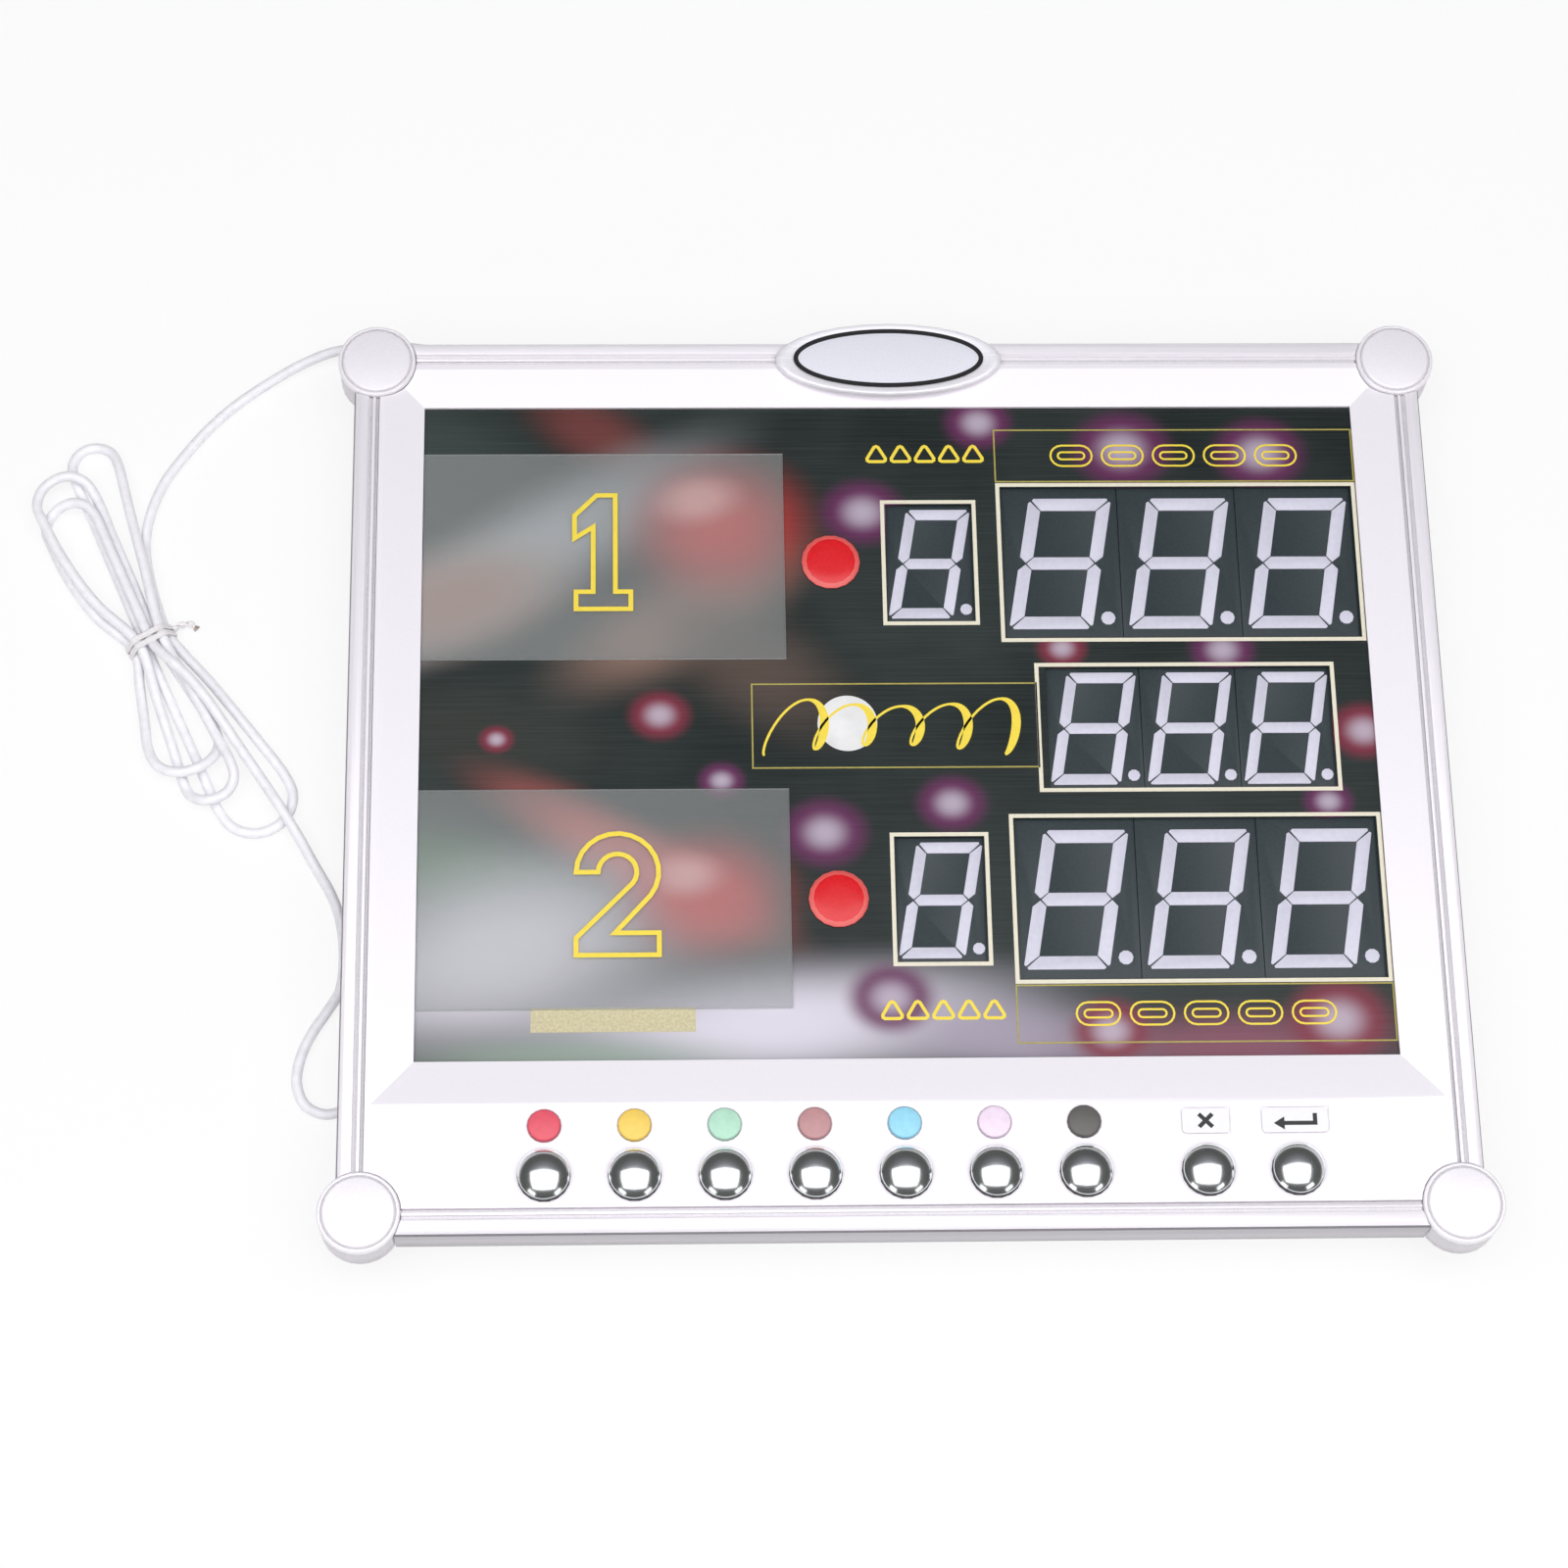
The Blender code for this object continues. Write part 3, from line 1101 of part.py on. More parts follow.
def half_turn(reach, turn, radius, bow, start, finish):
    """Twelve points (along, across): a side from the tie, a round end and the side that returns."""
    side_shares = (0.36, 0.72)
    arc_steps = 6
    middle = Vector((math.cos(turn), math.sin(turn))) * (reach - radius)
    way = 1 if start > finish else -1
    ends = []
    for across, side in ((start, way), (finish, -way)):
        to_middle = middle - Vector((0, across))
        heading = math.atan2(to_middle.y, to_middle.x) + side * math.asin(radius / to_middle.length)
        run = math.sqrt(to_middle.length ** 2 - radius ** 2)
        ends.append(Vector((0, across)) + run * Vector((math.cos(heading), math.sin(heading))))
    first, last = ends
    start_point, finish_point = Vector((0, start)), Vector((0, finish))
    side_run = first - start_point
    normal = Vector((-side_run.y, side_run.x)).normalized()
    points = [start_point]
    for share in side_shares:
        points.append(start_point + side_run * share + normal * bow * math.sin(math.pi * share))
    first_angle = math.atan2(first.y - middle.y, first.x - middle.x)
    last_angle = math.atan2(last.y - middle.y, last.x - middle.x)
    sweep = (last_angle - first_angle) * -way % (2 * math.pi) * -way
    for i in range(arc_steps + 1):
        angle = first_angle + sweep * i / arc_steps
        points.append(middle + radius * Vector((math.cos(angle), math.sin(angle))))
    return points + [finish_point + (last - finish_point) * share for share in side_shares[::-1]]


def least_gap(points):
    """Least gap of the tube to itself, measured on points along it, past its own bends."""
    step = CORD_DIAMETER / 4
    apart = round(CORD_DIAMETER * 3.5 / step)
    places = []
    for low, high in zip(points, points[1:]):
        count = max(1, round((high - low).length / step))
        places += [low.lerp(high, i / count) for i in range(count)]
    places = numpy.array(places + [points[-1]])
    distances = numpy.linalg.norm(places[:, None] - places[None], axis=2)
    rows = numpy.arange(len(places))
    far = rows[None] - rows[:, None] > apart
    return float(distances[far].min()) - CORD_DIAMETER


def make_hank():
    """The tied hank as one tube, and the tie round its seven strands. Returns its two ends."""
    slot = (CORD_DIAMETER + STRAND_GAP) / 2
    places = [hank_point(along, across, 0) for along, across in HANK_START]
    for i, (side, reach, turn, radius, bow, layers) in enumerate(HALF_TURNS):
        start, finish = STRAND_SLOTS[i] * slot, STRAND_SLOTS[i + 1] * slot
        flat = half_turn(reach, math.radians(turn), radius, bow, start, finish)
        places += [hank_point(side * point.x, point.y, height) for point, height in zip(flat, layers)]
    places.append(hank_point(0, STRAND_SLOTS[-1] * slot, TIED_LIFT_SHARE + TIED_HIGH_SHARE))
    places += [hank_point(*place) for place in HANK_END]
    start_run = (places[1] - places[0]).normalized() * CORD_DIAMETER
    end_run = (places[-2] - places[-1])
    end_run = Vector((end_run.x, end_run.y, 0)).normalized() * CORD_DIAMETER
    points = [places[0], places[0] + start_run] + places[1:-1] + [places[-1] + end_run, places[-1]]
    cord("cord_hank", points, 1)
    length = sum((high - low).length for low, high in zip(points, points[1:]))
    print(f"cord_hank: {length * 1000:.0f} mm long, least gap to itself {least_gap(points) * 1000:.2f} mm")
    make_tie(slot)
    return points[:2], points[:-3:-1]


def make_tie(slot):
    """A band round the strands: the low row's ends and the high row's ends are its corners."""
    layer = CORD_DIAMETER + LAYER_GAP
    low = rest_level() + TIED_LIFT_SHARE * layer
    high = low + TIED_HIGH_SHARE * layer
    low_x, high_x = max(STRAND_SLOTS) * slot, (max(STRAND_SLOTS) - 1) * slot
    lean = math.atan2(low_x - high_x, high - low)
    inner = CORD_DIAMETER / 2 + TIE_GAP
    corners_of_tie = [
        (low_x, low, -math.pi / 2, lean),
        (high_x, high, lean, math.pi / 2),
        (-high_x, high, math.pi / 2, math.pi - lean),
        (-low_x, low, math.pi - lean, 1.5 * math.pi),
    ]
    steps = 5
    rings = []
    half = TIE_WIDTH / 2
    for radius, along in ((inner, -half), (inner + TIE_THICKNESS, -half), (inner + TIE_THICKNESS, half), (inner, half)):
        ring = []
        for across, level, first, last in corners_of_tie:
            for i in range(steps + 1):
                angle = first + (last - first) * i / steps
                place = hank_point(along, across + radius * math.cos(angle), 0)
                ring.append(Vector((place.x, place.y, level + radius * math.sin(angle))))
        rings.append(ring)
    add("cord_tie", lofted("cord_tie", rings, True), white_sleeve(), (gland_x(), CASE_TOP, 0), smooth=True)


def make_lead():
    """The lead's free stretches, which meet the gland, the hank and the plug, and the plug."""
    rest = rest_level()
    hank_start, hank_end = make_hank()
    gland_tip = SEAT + GLAND_LENGTH
    level = gland_z()
    route = [Vector((0, gland_tip - GLAND_HOLD, level)), Vector((0, gland_tip + CORD_DIAMETER, level))]
    route += [Vector((x, y, rest + rise)) for x, y, rise in LEAD_ROUTE]
    meet, inner = hank_start
    run = (meet - inner).normalized()
    route += [meet + run * (SEAT + CORD_DIAMETER), meet + run * SEAT]
    cord("cord_lead", smooth_curve(route, 2 * CORD_DIAMETER), 2)

    meet, inner = hank_end
    run = (meet - inner).normalized()
    plug_level = PLUG_RADIUS + CORD_FLOOR_GAP
    route = [meet + run * SEAT, meet + run * (SEAT + CORD_DIAMETER)]
    route += [Vector((x, y, rest + rise)) for x, y, rise in TAIL_ROUTE]
    route += [Vector((PLUG_X, PLUG_Y - CORD_DIAMETER, plug_level))]
    route += [Vector((PLUG_X, PLUG_Y + PLUG_SOCKET - SEAT, plug_level))]
    cord("cord_tail", smooth_curve(route, 2 * CORD_DIAMETER), 2)

    body_end = PLUG_RELIEF + PLUG_LENGTH
    barrel_end = body_end + PLUG_BARREL_LENGTH
    socket = CORD_DIAMETER / 2 + SEAT
    profile = [
        (socket, PLUG_SOCKET),
        (socket, 0.0),
        (PLUG_TIP_RADIUS, 0.0),
        (PLUG_RELIEF_RADIUS, PLUG_RELIEF),
        (PLUG_RADIUS - PLUG_EDGE, PLUG_RELIEF),
        (PLUG_RADIUS, PLUG_RELIEF + PLUG_EDGE),
        (PLUG_RADIUS, body_end - PLUG_EDGE),
        (PLUG_RADIUS - PLUG_EDGE, body_end),
        (PLUG_BARREL_RADIUS, body_end),
        (PLUG_BARREL_RADIUS, barrel_end),
        (PLUG_BARREL_BORE, barrel_end),
        (PLUG_BARREL_BORE, barrel_end - PLUG_BARREL_DEPTH),
    ]
    mesh = lofted("dc_plug", along_y(profile, 0, 0, 0, ROUND))
    place = (gland_x() + PLUG_X, CASE_TOP + PLUG_Y, plug_level)
    add("dc_plug", mesh, dark_plastic(), place, smooth=True)


make_frame()
make_surround()
stem_end_level = make_buttons()
make_markers()
make_display()
make_digits()
make_badge()
rear_panel = make_case()
make_boards(stem_end_level, rear_panel)
make_gland()
make_lead()
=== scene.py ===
"""Looks of an electronic snooker scoreboard that lies on its back, with its lead tied beside it.

X runs across the board, Y towards the top of its display and Z out of its face. Lengths are in
metres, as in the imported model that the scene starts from.
"""
import math

import bmesh
import bpy
from mathutils import Matrix, Vector


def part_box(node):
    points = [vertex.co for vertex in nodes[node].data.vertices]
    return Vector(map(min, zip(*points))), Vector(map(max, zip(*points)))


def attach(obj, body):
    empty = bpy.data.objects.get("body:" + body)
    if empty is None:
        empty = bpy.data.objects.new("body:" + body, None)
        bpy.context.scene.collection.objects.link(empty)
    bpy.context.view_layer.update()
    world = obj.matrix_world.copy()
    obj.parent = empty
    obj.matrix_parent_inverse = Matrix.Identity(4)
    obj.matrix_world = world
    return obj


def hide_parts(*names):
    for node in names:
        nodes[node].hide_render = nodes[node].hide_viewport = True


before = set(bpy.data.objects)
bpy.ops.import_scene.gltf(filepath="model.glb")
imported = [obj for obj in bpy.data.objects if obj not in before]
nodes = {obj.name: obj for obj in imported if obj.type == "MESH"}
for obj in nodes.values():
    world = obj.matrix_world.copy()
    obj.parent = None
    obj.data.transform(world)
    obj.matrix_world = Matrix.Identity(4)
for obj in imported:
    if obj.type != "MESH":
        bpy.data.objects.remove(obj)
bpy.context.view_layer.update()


# Surfaces: a finish for each kind of material, with a fine grain in the piece's own metres, and
# edges that are broken as sawing or moulding leaves them.
CREASE = 32.0                    # degrees between two faces from which their edge is sharp
WELD_REACH = 0.000002
FINE_EDGE = 0.0001               # of caps, boards, plates and lamps
ROUND_EDGE = 0.0002              # of sheet metal and moulded rubber
GRAIN_LOW, GRAIN_HIGH = 0.3, 0.7     # of the noise, between which the colour changes
ROUGH_LEAST = 0.02
FACING_UP = 0.6                  # least upward share of a level face's normal


def add_node(tree, kind, inputs=(), **settings):
    """A shader node with its settings; an input takes a value, or a link from another node."""
    added = tree.nodes.new(f"ShaderNode{kind}")
    for name, value in settings.items():
        setattr(added, name, value)
    for name, value in dict(inputs).items():
        if isinstance(value, bpy.types.NodeSocket):
            tree.links.new(value, added.inputs[name])
        else:
            added.inputs[name].default_value = value
    return added


def add_math(tree, operation, first, second):
    """The result of one operation on two sockets or values."""
    return add_node(tree, "Math", {0: first, 1: second}, operation=operation).outputs["Value"]


def add_ramp(tree, factor, stops):
    """Colours blended along a factor, between stops of a position and a colour."""
    ramp = add_node(tree, "ValToRGB", {"Fac": factor})
    elements = ramp.color_ramp.elements
    for position, _ in stops[1:-1]:
        elements.new(position)
    for element, (position, colour) in zip(elements, stops):
        element.position = position
        element.color = (*colour, 1.0)
    return ramp.outputs["Color"]


def mix_colours(tree, base, factor, colour):
    """Lays a colour over a base by a factor."""
    inputs = {"A": base, "Factor": factor, "B": (*colour, 1.0)}
    return add_node(tree, "Mix", inputs, data_type="RGBA").outputs["Result"]


def add_grain(finish, scale, stretch=(1.0, 1.0, 1.0), tint=0.05, gloss=0.05, relief=0.0, detail=4.0):
    """Lets a noise vary the colour, the roughness and the relief."""
    tree = finish.node_tree
    shader = tree.nodes["Principled BSDF"].inputs
    place = add_node(tree, "TexCoord").outputs["Object"]
    stretched = add_node(tree, "Mapping", {"Vector": place, "Scale": stretch}).outputs["Vector"]
    noise = add_node(tree, "TexNoise", {"Vector": stretched, "Scale": scale, "Detail": detail}).outputs["Fac"]
    colour = tuple(shader["Base Color"].default_value)[:3]
    dark = [part * (1 - tint) for part in colour]
    pale = [min(1.0, part * (1 + tint)) for part in colour]
    tree.links.new(add_ramp(tree, noise, [(GRAIN_LOW, dark), (GRAIN_HIGH, pale)]), shader["Base Color"])
    if gloss:
        rough = shader["Roughness"].default_value
        low, high = max(ROUGH_LEAST, rough - gloss), min(1.0, rough + gloss)
        spread = add_node(tree, "MapRange", {"Value": noise, "To Min": low, "To Max": high})
        tree.links.new(spread.outputs["Result"], shader["Roughness"])
    if relief:
        bump = add_node(tree, "Bump", {"Height": noise, "Strength": 1.0, "Distance": relief})
        tree.links.new(bump.outputs["Normal"], shader["Normal"])


def new_finish(name, colour, roughness, metallic=0.0, grain=None, **looks):
    """A material for one kind of surface, plain unless its grain has a scale."""
    finish = bpy.data.materials.new(name)
    finish.use_nodes = True
    shader = finish.node_tree.nodes["Principled BSDF"].inputs
    shader["Base Color"].default_value = (*colour, 1.0)
    shader["Roughness"].default_value = roughness
    shader["Metallic"].default_value = metallic
    if grain:
        add_grain(finish, grain, **looks)
    return finish


def soften(piece, edge, limit=CREASE, flat=False):
    """Smooth faces with broken edges; flat ones shade flat."""
    piece.data.shade_smooth()
    weld = piece.modifiers.new("weld", "WELD")
    weld.merge_threshold = WELD_REACH
    bevel = piece.modifiers.new("broken_edges", "BEVEL")
    bevel.width = edge
    bevel.segments = 2
    bevel.limit_method = "ANGLE"
    bevel.angle_limit = math.radians(limit)
    bevel.harden_normals = not flat
    if flat:
        weighting = piece.modifiers.new("flat_faces", "WEIGHTED_NORMAL")
        weighting.mode = "FACE_AREA"
        weighting.weight = 100


def dress(name, finish, edge, **how):
    """Gives a node its finish and its broken edges."""
    node = nodes[name]
    node.data.materials.clear()
    node.data.materials.append(finish)
    soften(node, edge, **how)
    return node


def mark_faces(piece, finish, is_marked):
    """Gives a second finish to the faces that pass a test."""
    piece.data.materials.append(finish)
    for face in piece.data.polygons:
        face.material_index = int(is_marked(face))


def link_object(name, data):
    """A new object in the scene."""
    linked = bpy.data.objects.new(name, data)
    bpy.context.collection.objects.link(linked)
    return linked


def extent(name):
    """Low corner, high corner and middle of a node's box."""
    low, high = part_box(name)
    return low, high, (low + high) / 2


# Shapes: closed pieces from rings of points, and flat lines of ink that can just be felt.
INK = 0.00010
INK_LIFT = 0.00003               # over the face that it is printed on
MITRE_LIMIT = 0.4


def add_object(name, mesh, finish, body="housing", smooth=False):
    """A piece with its finish, which moves with one of the board's bodies."""
    piece = link_object(name, mesh)
    mesh.materials.append(finish)
    if smooth:
        mesh.shade_smooth()
        mesh.set_sharp_from_angle(angle=math.radians(CREASE))
    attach(piece, body)
    return piece


def add_piece(name, bm, finish, **how):
    """A piece from the closed shapes in a bmesh."""
    bmesh.ops.recalc_face_normals(bm, faces=bm.faces)
    mesh = bpy.data.meshes.new(name)
    bm.to_mesh(mesh)
    bm.free()
    return add_object(name, mesh, finish, **how)


def join_rows(bm, rows):
    """Quads between one closed row of vertices and the next."""
    for low, high in zip(rows, rows[1:]):
        for i in range(len(low)):
            j = (i + 1) % len(low)
            bm.faces.new((low[i], low[j], high[j], high[i]))


def add_rings(bm, rings, closed=False):
    """Joins rings of points and caps the ends, unless the last ring meets the first."""
    rows = [[bm.verts.new(point) for point in points] for points in rings]
    join_rows(bm, rows + rows[:1] if closed else rows)
    if not closed:
        bm.faces.new(rows[0][::-1])
        bm.faces.new(rows[-1])


def add_slab(bm, outline, low, high):
    """A flat shape between two levels, from its outline (x, y)."""
    add_rings(bm, [[(x, y, z) for x, y in outline] for z in (low, high)])


def ring(radius, z, sides, x=0.0, y=0.0):
    """Points round a level circle."""
    turn = 2 * math.pi / sides
    return [(x + radius * math.cos(i * turn), y + radius * math.sin(i * turn), z) for i in range(sides)]


def arc(x, y, radius, first, last, steps):
    """Points (x, y) on an arc from one angle to another."""
    angles = [first + (last - first) * i / steps for i in range(steps + 1)]
    return [(x + radius * math.cos(angle), y + radius * math.sin(angle)) for angle in angles]


def box_corners(x_low, x_high, y_low, y_high):
    return [(x_low, y_low), (x_high, y_low), (x_high, y_high), (x_low, y_high)]


def add_ribbon(bm, points, width, level, closed=True):
    """A line of ink on a level, along points (x, y); width is a number, or one for each point."""
    count = len(points)
    flat = [Vector(point) for point in points]
    widths = width if isinstance(width, list) else [width] * count
    rings = []
    for i, point in enumerate(flat):
        before = flat[i - 1] if i or closed else point * 2 - flat[1]
        after = flat[(i + 1) % count] if i < count - 1 or closed else point * 2 - flat[i - 1]
        way_in, way_out = (point - before).normalized(), (after - point).normalized()
        side_in = Vector((-way_in.y, way_in.x))
        side = (side_in + Vector((-way_out.y, way_out.x))).normalized()
        reach = side * (widths[i] / 2 / max(MITRE_LIMIT, side.dot(side_in)))
        left, right = point + reach, point - reach
        rings.append([(*left, level), (*left, level + INK), (*right, level + INK), (*right, level)])
    add_rings(bm, rings, closed)


# Rails: four lengths of one extrusion in clear anodised aluminium, sawn and coped round the corner
# posts, with the die's fine lines along them. The outer bar rises from its edge to the groove
# beside it. Painted shade: the bar's edge is a dark grey line, its outer flank a darker copy of
# the silver, and the grooves are grey, paler in the rails above and below the display as painted
# light.
RAIL_SILVER = (0.95, 0.91, 0.965)
FLANK_SHADE_SILVER = (0.50, 0.48, 0.51)
GROOVE_SHADE_GREY = (0.62, 0.60, 0.63)
CROSS_GROOVE_SHADE_GREY = (0.75, 0.72, 0.76)   # in the rails above and below the display
EDGE_SHADE_GREY = (0.25, 0.235, 0.26)
RAIL_EDGE = 0.00022
DIE_LINES = 900.0                # of the noise, per metre across the rail
DIE_STRETCH = 0.02               # along it
GRIT = 1500.0                    # of the noise on small parts
BAR_WIDTH = 0.0063               # of the outer bar, beside the first groove
GROOVE_TOP, GROOVE_FLOOR = 0.0008, 0.0022
EDGE_WIDTH, EDGE_TOP, EDGE_FLOOR = 0.0005, 0.0012, 0.0023
FLANK_UPRIGHT, FLANK_OUTWARD = 0.75, 0.3     # of a face's normal: at most up, at least outward
BAR_CURVE = [
    # in from the rail's outer face, depth under the bar's top on the solid, depth here
    (0.0, 0.00247, 0.00247),
    (0.00061, 0.00094, 0.00135),
    (0.00221, 0.0, 0.00034),
    (0.00419, 0.0, 0.00002),
    (0.00579, 0.00094, 0.0),
    (0.00640, 0.00167, 0.00167),
]
BAR_SLACK = 0.00003


def bar_drop(inward, depth):
    """How far a point on the bar's top drops to the curve that it has here."""
    for (start, solid_low, low), (end, solid_high, high) in zip(BAR_CURVE, BAR_CURVE[1:]):
        if start <= inward < end:
            share = (inward - start) / (end - start)
            on_solid = solid_low + share * (solid_high - solid_low)
            if abs(depth - on_solid) < BAR_SLACK:
                return low + share * (high - low) - on_solid
    return 0.0


# Painted shade: grey in the grooves. The paler grey of the rails across is painted light.
side_groove_shade = new_finish("shaded_groove", GROOVE_SHADE_GREY, 0.5, grain=GRIT, tint=0.1)
cross_groove_shade = new_finish("paler_groove_shade", CROSS_GROOVE_SHADE_GREY, 0.5, grain=GRIT, tint=0.08)
# Painted shade: a dark grey line along the bar's outer edge.
edge = new_finish("shaded_edge", EDGE_SHADE_GREY, 0.4, 0.3, grain=GRIT, tint=0.1)
for axis, rails in ((0, ("rail_top", "rail_bottom")), (1, ("rail_left", "rail_right"))):
    lines = {"grain": DIE_LINES, "stretch": [1.0, 1.0, 1.0], "gloss": 0.06}
    lines["stretch"][axis] = DIE_STRETCH
    front = new_finish(f"rail_front_{'xy'[axis]}", RAIL_SILVER, 0.36, 0.12, tint=0.03, **lines)
    # Painted shade: the outer flank is a darker, more metallic copy of the rail's silver.
    flank = new_finish(f"rail_flank_shade_{'xy'[axis]}", FLANK_SHADE_SILVER, 0.30, 0.85, tint=0.05, **lines)
    groove = side_groove_shade if axis else cross_groove_shade
    finishes = [front, flank, groove, edge]
    for rail in rails:
        section = nodes[rail].data.copy()
        section.materials.clear()
        extrusion = add_object(f"{rail}_extrusion", section, front)
        soften(extrusion, RAIL_EDGE)
        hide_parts(rail)
        low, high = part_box(rail)
        side = 1 if low[1 - axis] > 0 else -1
        outer = max(abs(low[1 - axis]), abs(high[1 - axis]))
        for finish in finishes[1:]:
            section.materials.append(finish)
        for face in section.polygons:
            depth = high.z - face.center.z
            inward = outer - abs(face.center[1 - axis])
            if inward > BAR_WIDTH and GROOVE_TOP < depth < GROOVE_FLOOR:
                face.material_index = finishes.index(groove)
            elif inward < EDGE_WIDTH and EDGE_TOP < depth < EDGE_FLOOR:
                face.material_index = finishes.index(edge)
            elif face.normal.z < FLANK_UPRIGHT and side * face.normal[1 - axis] > FLANK_OUTWARD:
                face.material_index = finishes.index(flank)
        for vertex in section.vertices:
            inward = max(0.0, outer - abs(vertex.co[1 - axis]))
            vertex.co.z -= bar_drop(inward, high.z - vertex.co.z)


# Corner posts and caps: turned aluminium tubes between the rails, each closed by a pressed cap with
# a raised disc, sprayed in fine silver.
# The posts are anodised aluminium, and their silver is darkened as painted shade under the caps.
SHADED_POST_SILVER = (0.66, 0.63, 0.67)
CAP_SILVER = (0.94, 0.90, 0.95)
CAP_GROOVE_INNER, CAP_GROOVE_OUTER = 0.01375, 0.01445
CAP_GROOVE_DEPTH = 0.0012

post_finish = new_finish(
    "anodised_post", SHADED_POST_SILVER, 0.32, 0.5, grain=DIE_LINES, stretch=(1.0, 1.0, DIE_STRETCH), gloss=0.06)
cap_finish = new_finish(
    "sprayed_cap", CAP_SILVER, 0.34, 0.14, grain=GRIT, tint=0.035, gloss=0.06, relief=0.00001)
for corner in ("top_left", "top_right", "bottom_left", "bottom_right"):
    dress(f"post_{corner}", post_finish, RAIL_EDGE)
    _, high, middle = extent(f"cap_{corner}")
    # Painted shade: the ring groove in each cap's disc takes the grooves' painted grey.
    mark_faces(dress(f"cap_{corner}", cap_finish, FINE_EDGE), side_groove_shade, lambda face: (
        CAP_GROOVE_INNER < (face.center.xy - middle.xy).length < CAP_GROOVE_OUTER
        and face.center.z > high.z - CAP_GROOVE_DEPTH))


# Surround: one moulding that frames the display with sloped sides and carries the buttons, sprayed
# in pearl silver with a fine metallic grain.
PEARL_SILVER = (0.94, 0.90, 0.955)
SURROUND_EDGE = 0.0003
SURROUND_CREASE = 12.0

surround_finish = new_finish(
    "pearl_surround", PEARL_SILVER, 0.32, 0.14,
    grain=2600.0, tint=0.025, gloss=0.06, relief=0.000004, detail=2.0)
dress("front_surround", surround_finish, SURROUND_EDGE, limit=SURROUND_CREASE, flat=True)


# Rear case: a folded steel ring under a flat screwed panel, powder coated in light grey. The panel
# has two keyholes, and its countersunk screws have cross recesses.
CASE_GREY = (0.62, 0.62, 0.64)
SCREW_ZINC = (0.60, 0.61, 0.63)
SCREW_HEAD = 0.0028
SCREW_CONE = 0.0014              # height of the head
SCREW_SHANK = 0.0013
SCREW_LENGTH = 0.0040
SCREW_SUNK = 0.0002
SCREW_SIDES = 32
CROSS_WIDTH = 0.0007
CROSS_LENGTH = 0.0034
CROSS_DEPTH = 0.0008
CROSS_TAPER = 0.7                # of the recess's floor against its mouth
CASE_SKIN = 0.0012
CASE_LAP = 0.0100

case_finish = new_finish("powder_coat", CASE_GREY, 0.55, grain=1800.0, gloss=0.08, relief=0.00004, detail=3.0)
dress("rear_case", case_finish, ROUND_EDGE, flat=True)
dress("rear_panel", case_finish, ROUND_EDGE, flat=True)
screw_finish = new_finish("zinc_screw", SCREW_ZINC, 0.30, 1.0, grain=700.0, tint=0.08, gloss=0.08)


def cross_head(bm, x, y):
    """A countersunk screw from below, its cross recess sunk between four quarters of the head."""
    arm, reach = CROSS_WIDTH / 2, CROSS_LENGTH / 2
    cross = []
    for quarter in range(4):
        turn = Matrix.Rotation(quarter * math.pi / 2, 2)
        cross += [turn @ Vector(corner) for corner in ((reach, -arm), (reach, arm), (arm, arm))]
    floor = SCREW_SUNK + CROSS_DEPTH
    outer = [bm.verts.new(point) for point in ring(SCREW_HEAD, SCREW_SUNK, SCREW_SIDES, x, y)]
    inner = [bm.verts.new((x + px, y + py, SCREW_SUNK)) for px, py in cross]
    deep = [bm.verts.new((x + CROSS_TAPER * px, y + CROSS_TAPER * py, floor)) for px, py in cross]
    edges = []
    for loop in (outer, inner):
        edges += [bm.edges.new((loop[i], loop[(i + 1) % len(loop)])) for i in range(len(loop))]
    bmesh.ops.triangle_fill(bm, use_beauty=True, edges=edges)
    join_rows(bm, [inner, deep])
    bm.faces.new(deep)
    rows = [outer]
    for z in (SCREW_SUNK + SCREW_CONE, SCREW_SUNK + SCREW_LENGTH):
        rows.append([bm.verts.new(point) for point in ring(SCREW_SHANK, z, SCREW_SIDES, x, y)])
    join_rows(bm, rows)
    bm.faces.new(rows[-1])


low, high, middle = extent("rear_panel")
inset = CASE_SKIN + CASE_LAP / 2
bm = bmesh.new()
for x in (inset - high.x, high.x - inset):
    for y in (low.y + inset, middle.y, high.y - inset):
        cross_head(bm, x, y)
for y in (low.y + inset, high.y - inset):
    cross_head(bm, 0.0, y)
add_piece("rear_panel_screws", bm, screw_finish, smooth=True)


# Boards: glass fibre boards with green solder resist behind the display, under the keys and beside
# the lead's entry, joined by a flat grey cable.
RESIST_GREEN = (0.03, 0.20, 0.09)
RIBBON_GREY = (0.42, 0.43, 0.45)
RIBBON_WIRES = (1.0, 0.02, 1.0)  # stretch of the noise along the cable

resist = new_finish("solder_resist", RESIST_GREEN, 0.38, grain=260.0, tint=0.25, gloss=0.08, relief=0.00002)
for board in ("display_board", "key_board", "power_board"):
    dress(board, resist, FINE_EDGE)
ribbon_finish = new_finish("ribbon_sleeve", RIBBON_GREY, 0.5, grain=800.0, stretch=RIBBON_WIRES, tint=0.18)
dress("ribbon_cable", ribbon_finish, FINE_EDGE)


# Digits: LED modules with a dark slate face and pale, diffusing light bars that are lit from
# behind. They are off, so the bars show in lilac white.
MODULE_SLATE = (0.023, 0.036, 0.042)
BAR_LILAC = (0.66, 0.65, 0.76)
MODULE_EDGE = 0.00008
BAR_STEP = 0.0003                # bars stand out more than this

module_finish = new_finish("module_face", MODULE_SLATE, 0.38, grain=900.0, tint=0.14, gloss=0.06)
bar_finish = new_finish("light_bar", BAR_LILAC, 0.45, grain=500.0, tint=0.035, gloss=0.06)
for name in nodes:
    if "_digit" in name:
        module = dress(name, module_finish, MODULE_EDGE)
        bar_level = max(vertex.co.z for vertex in module.data.vertices) - BAR_STEP
        mark_faces(module, bar_finish, lambda face: face.center.z > bar_level)


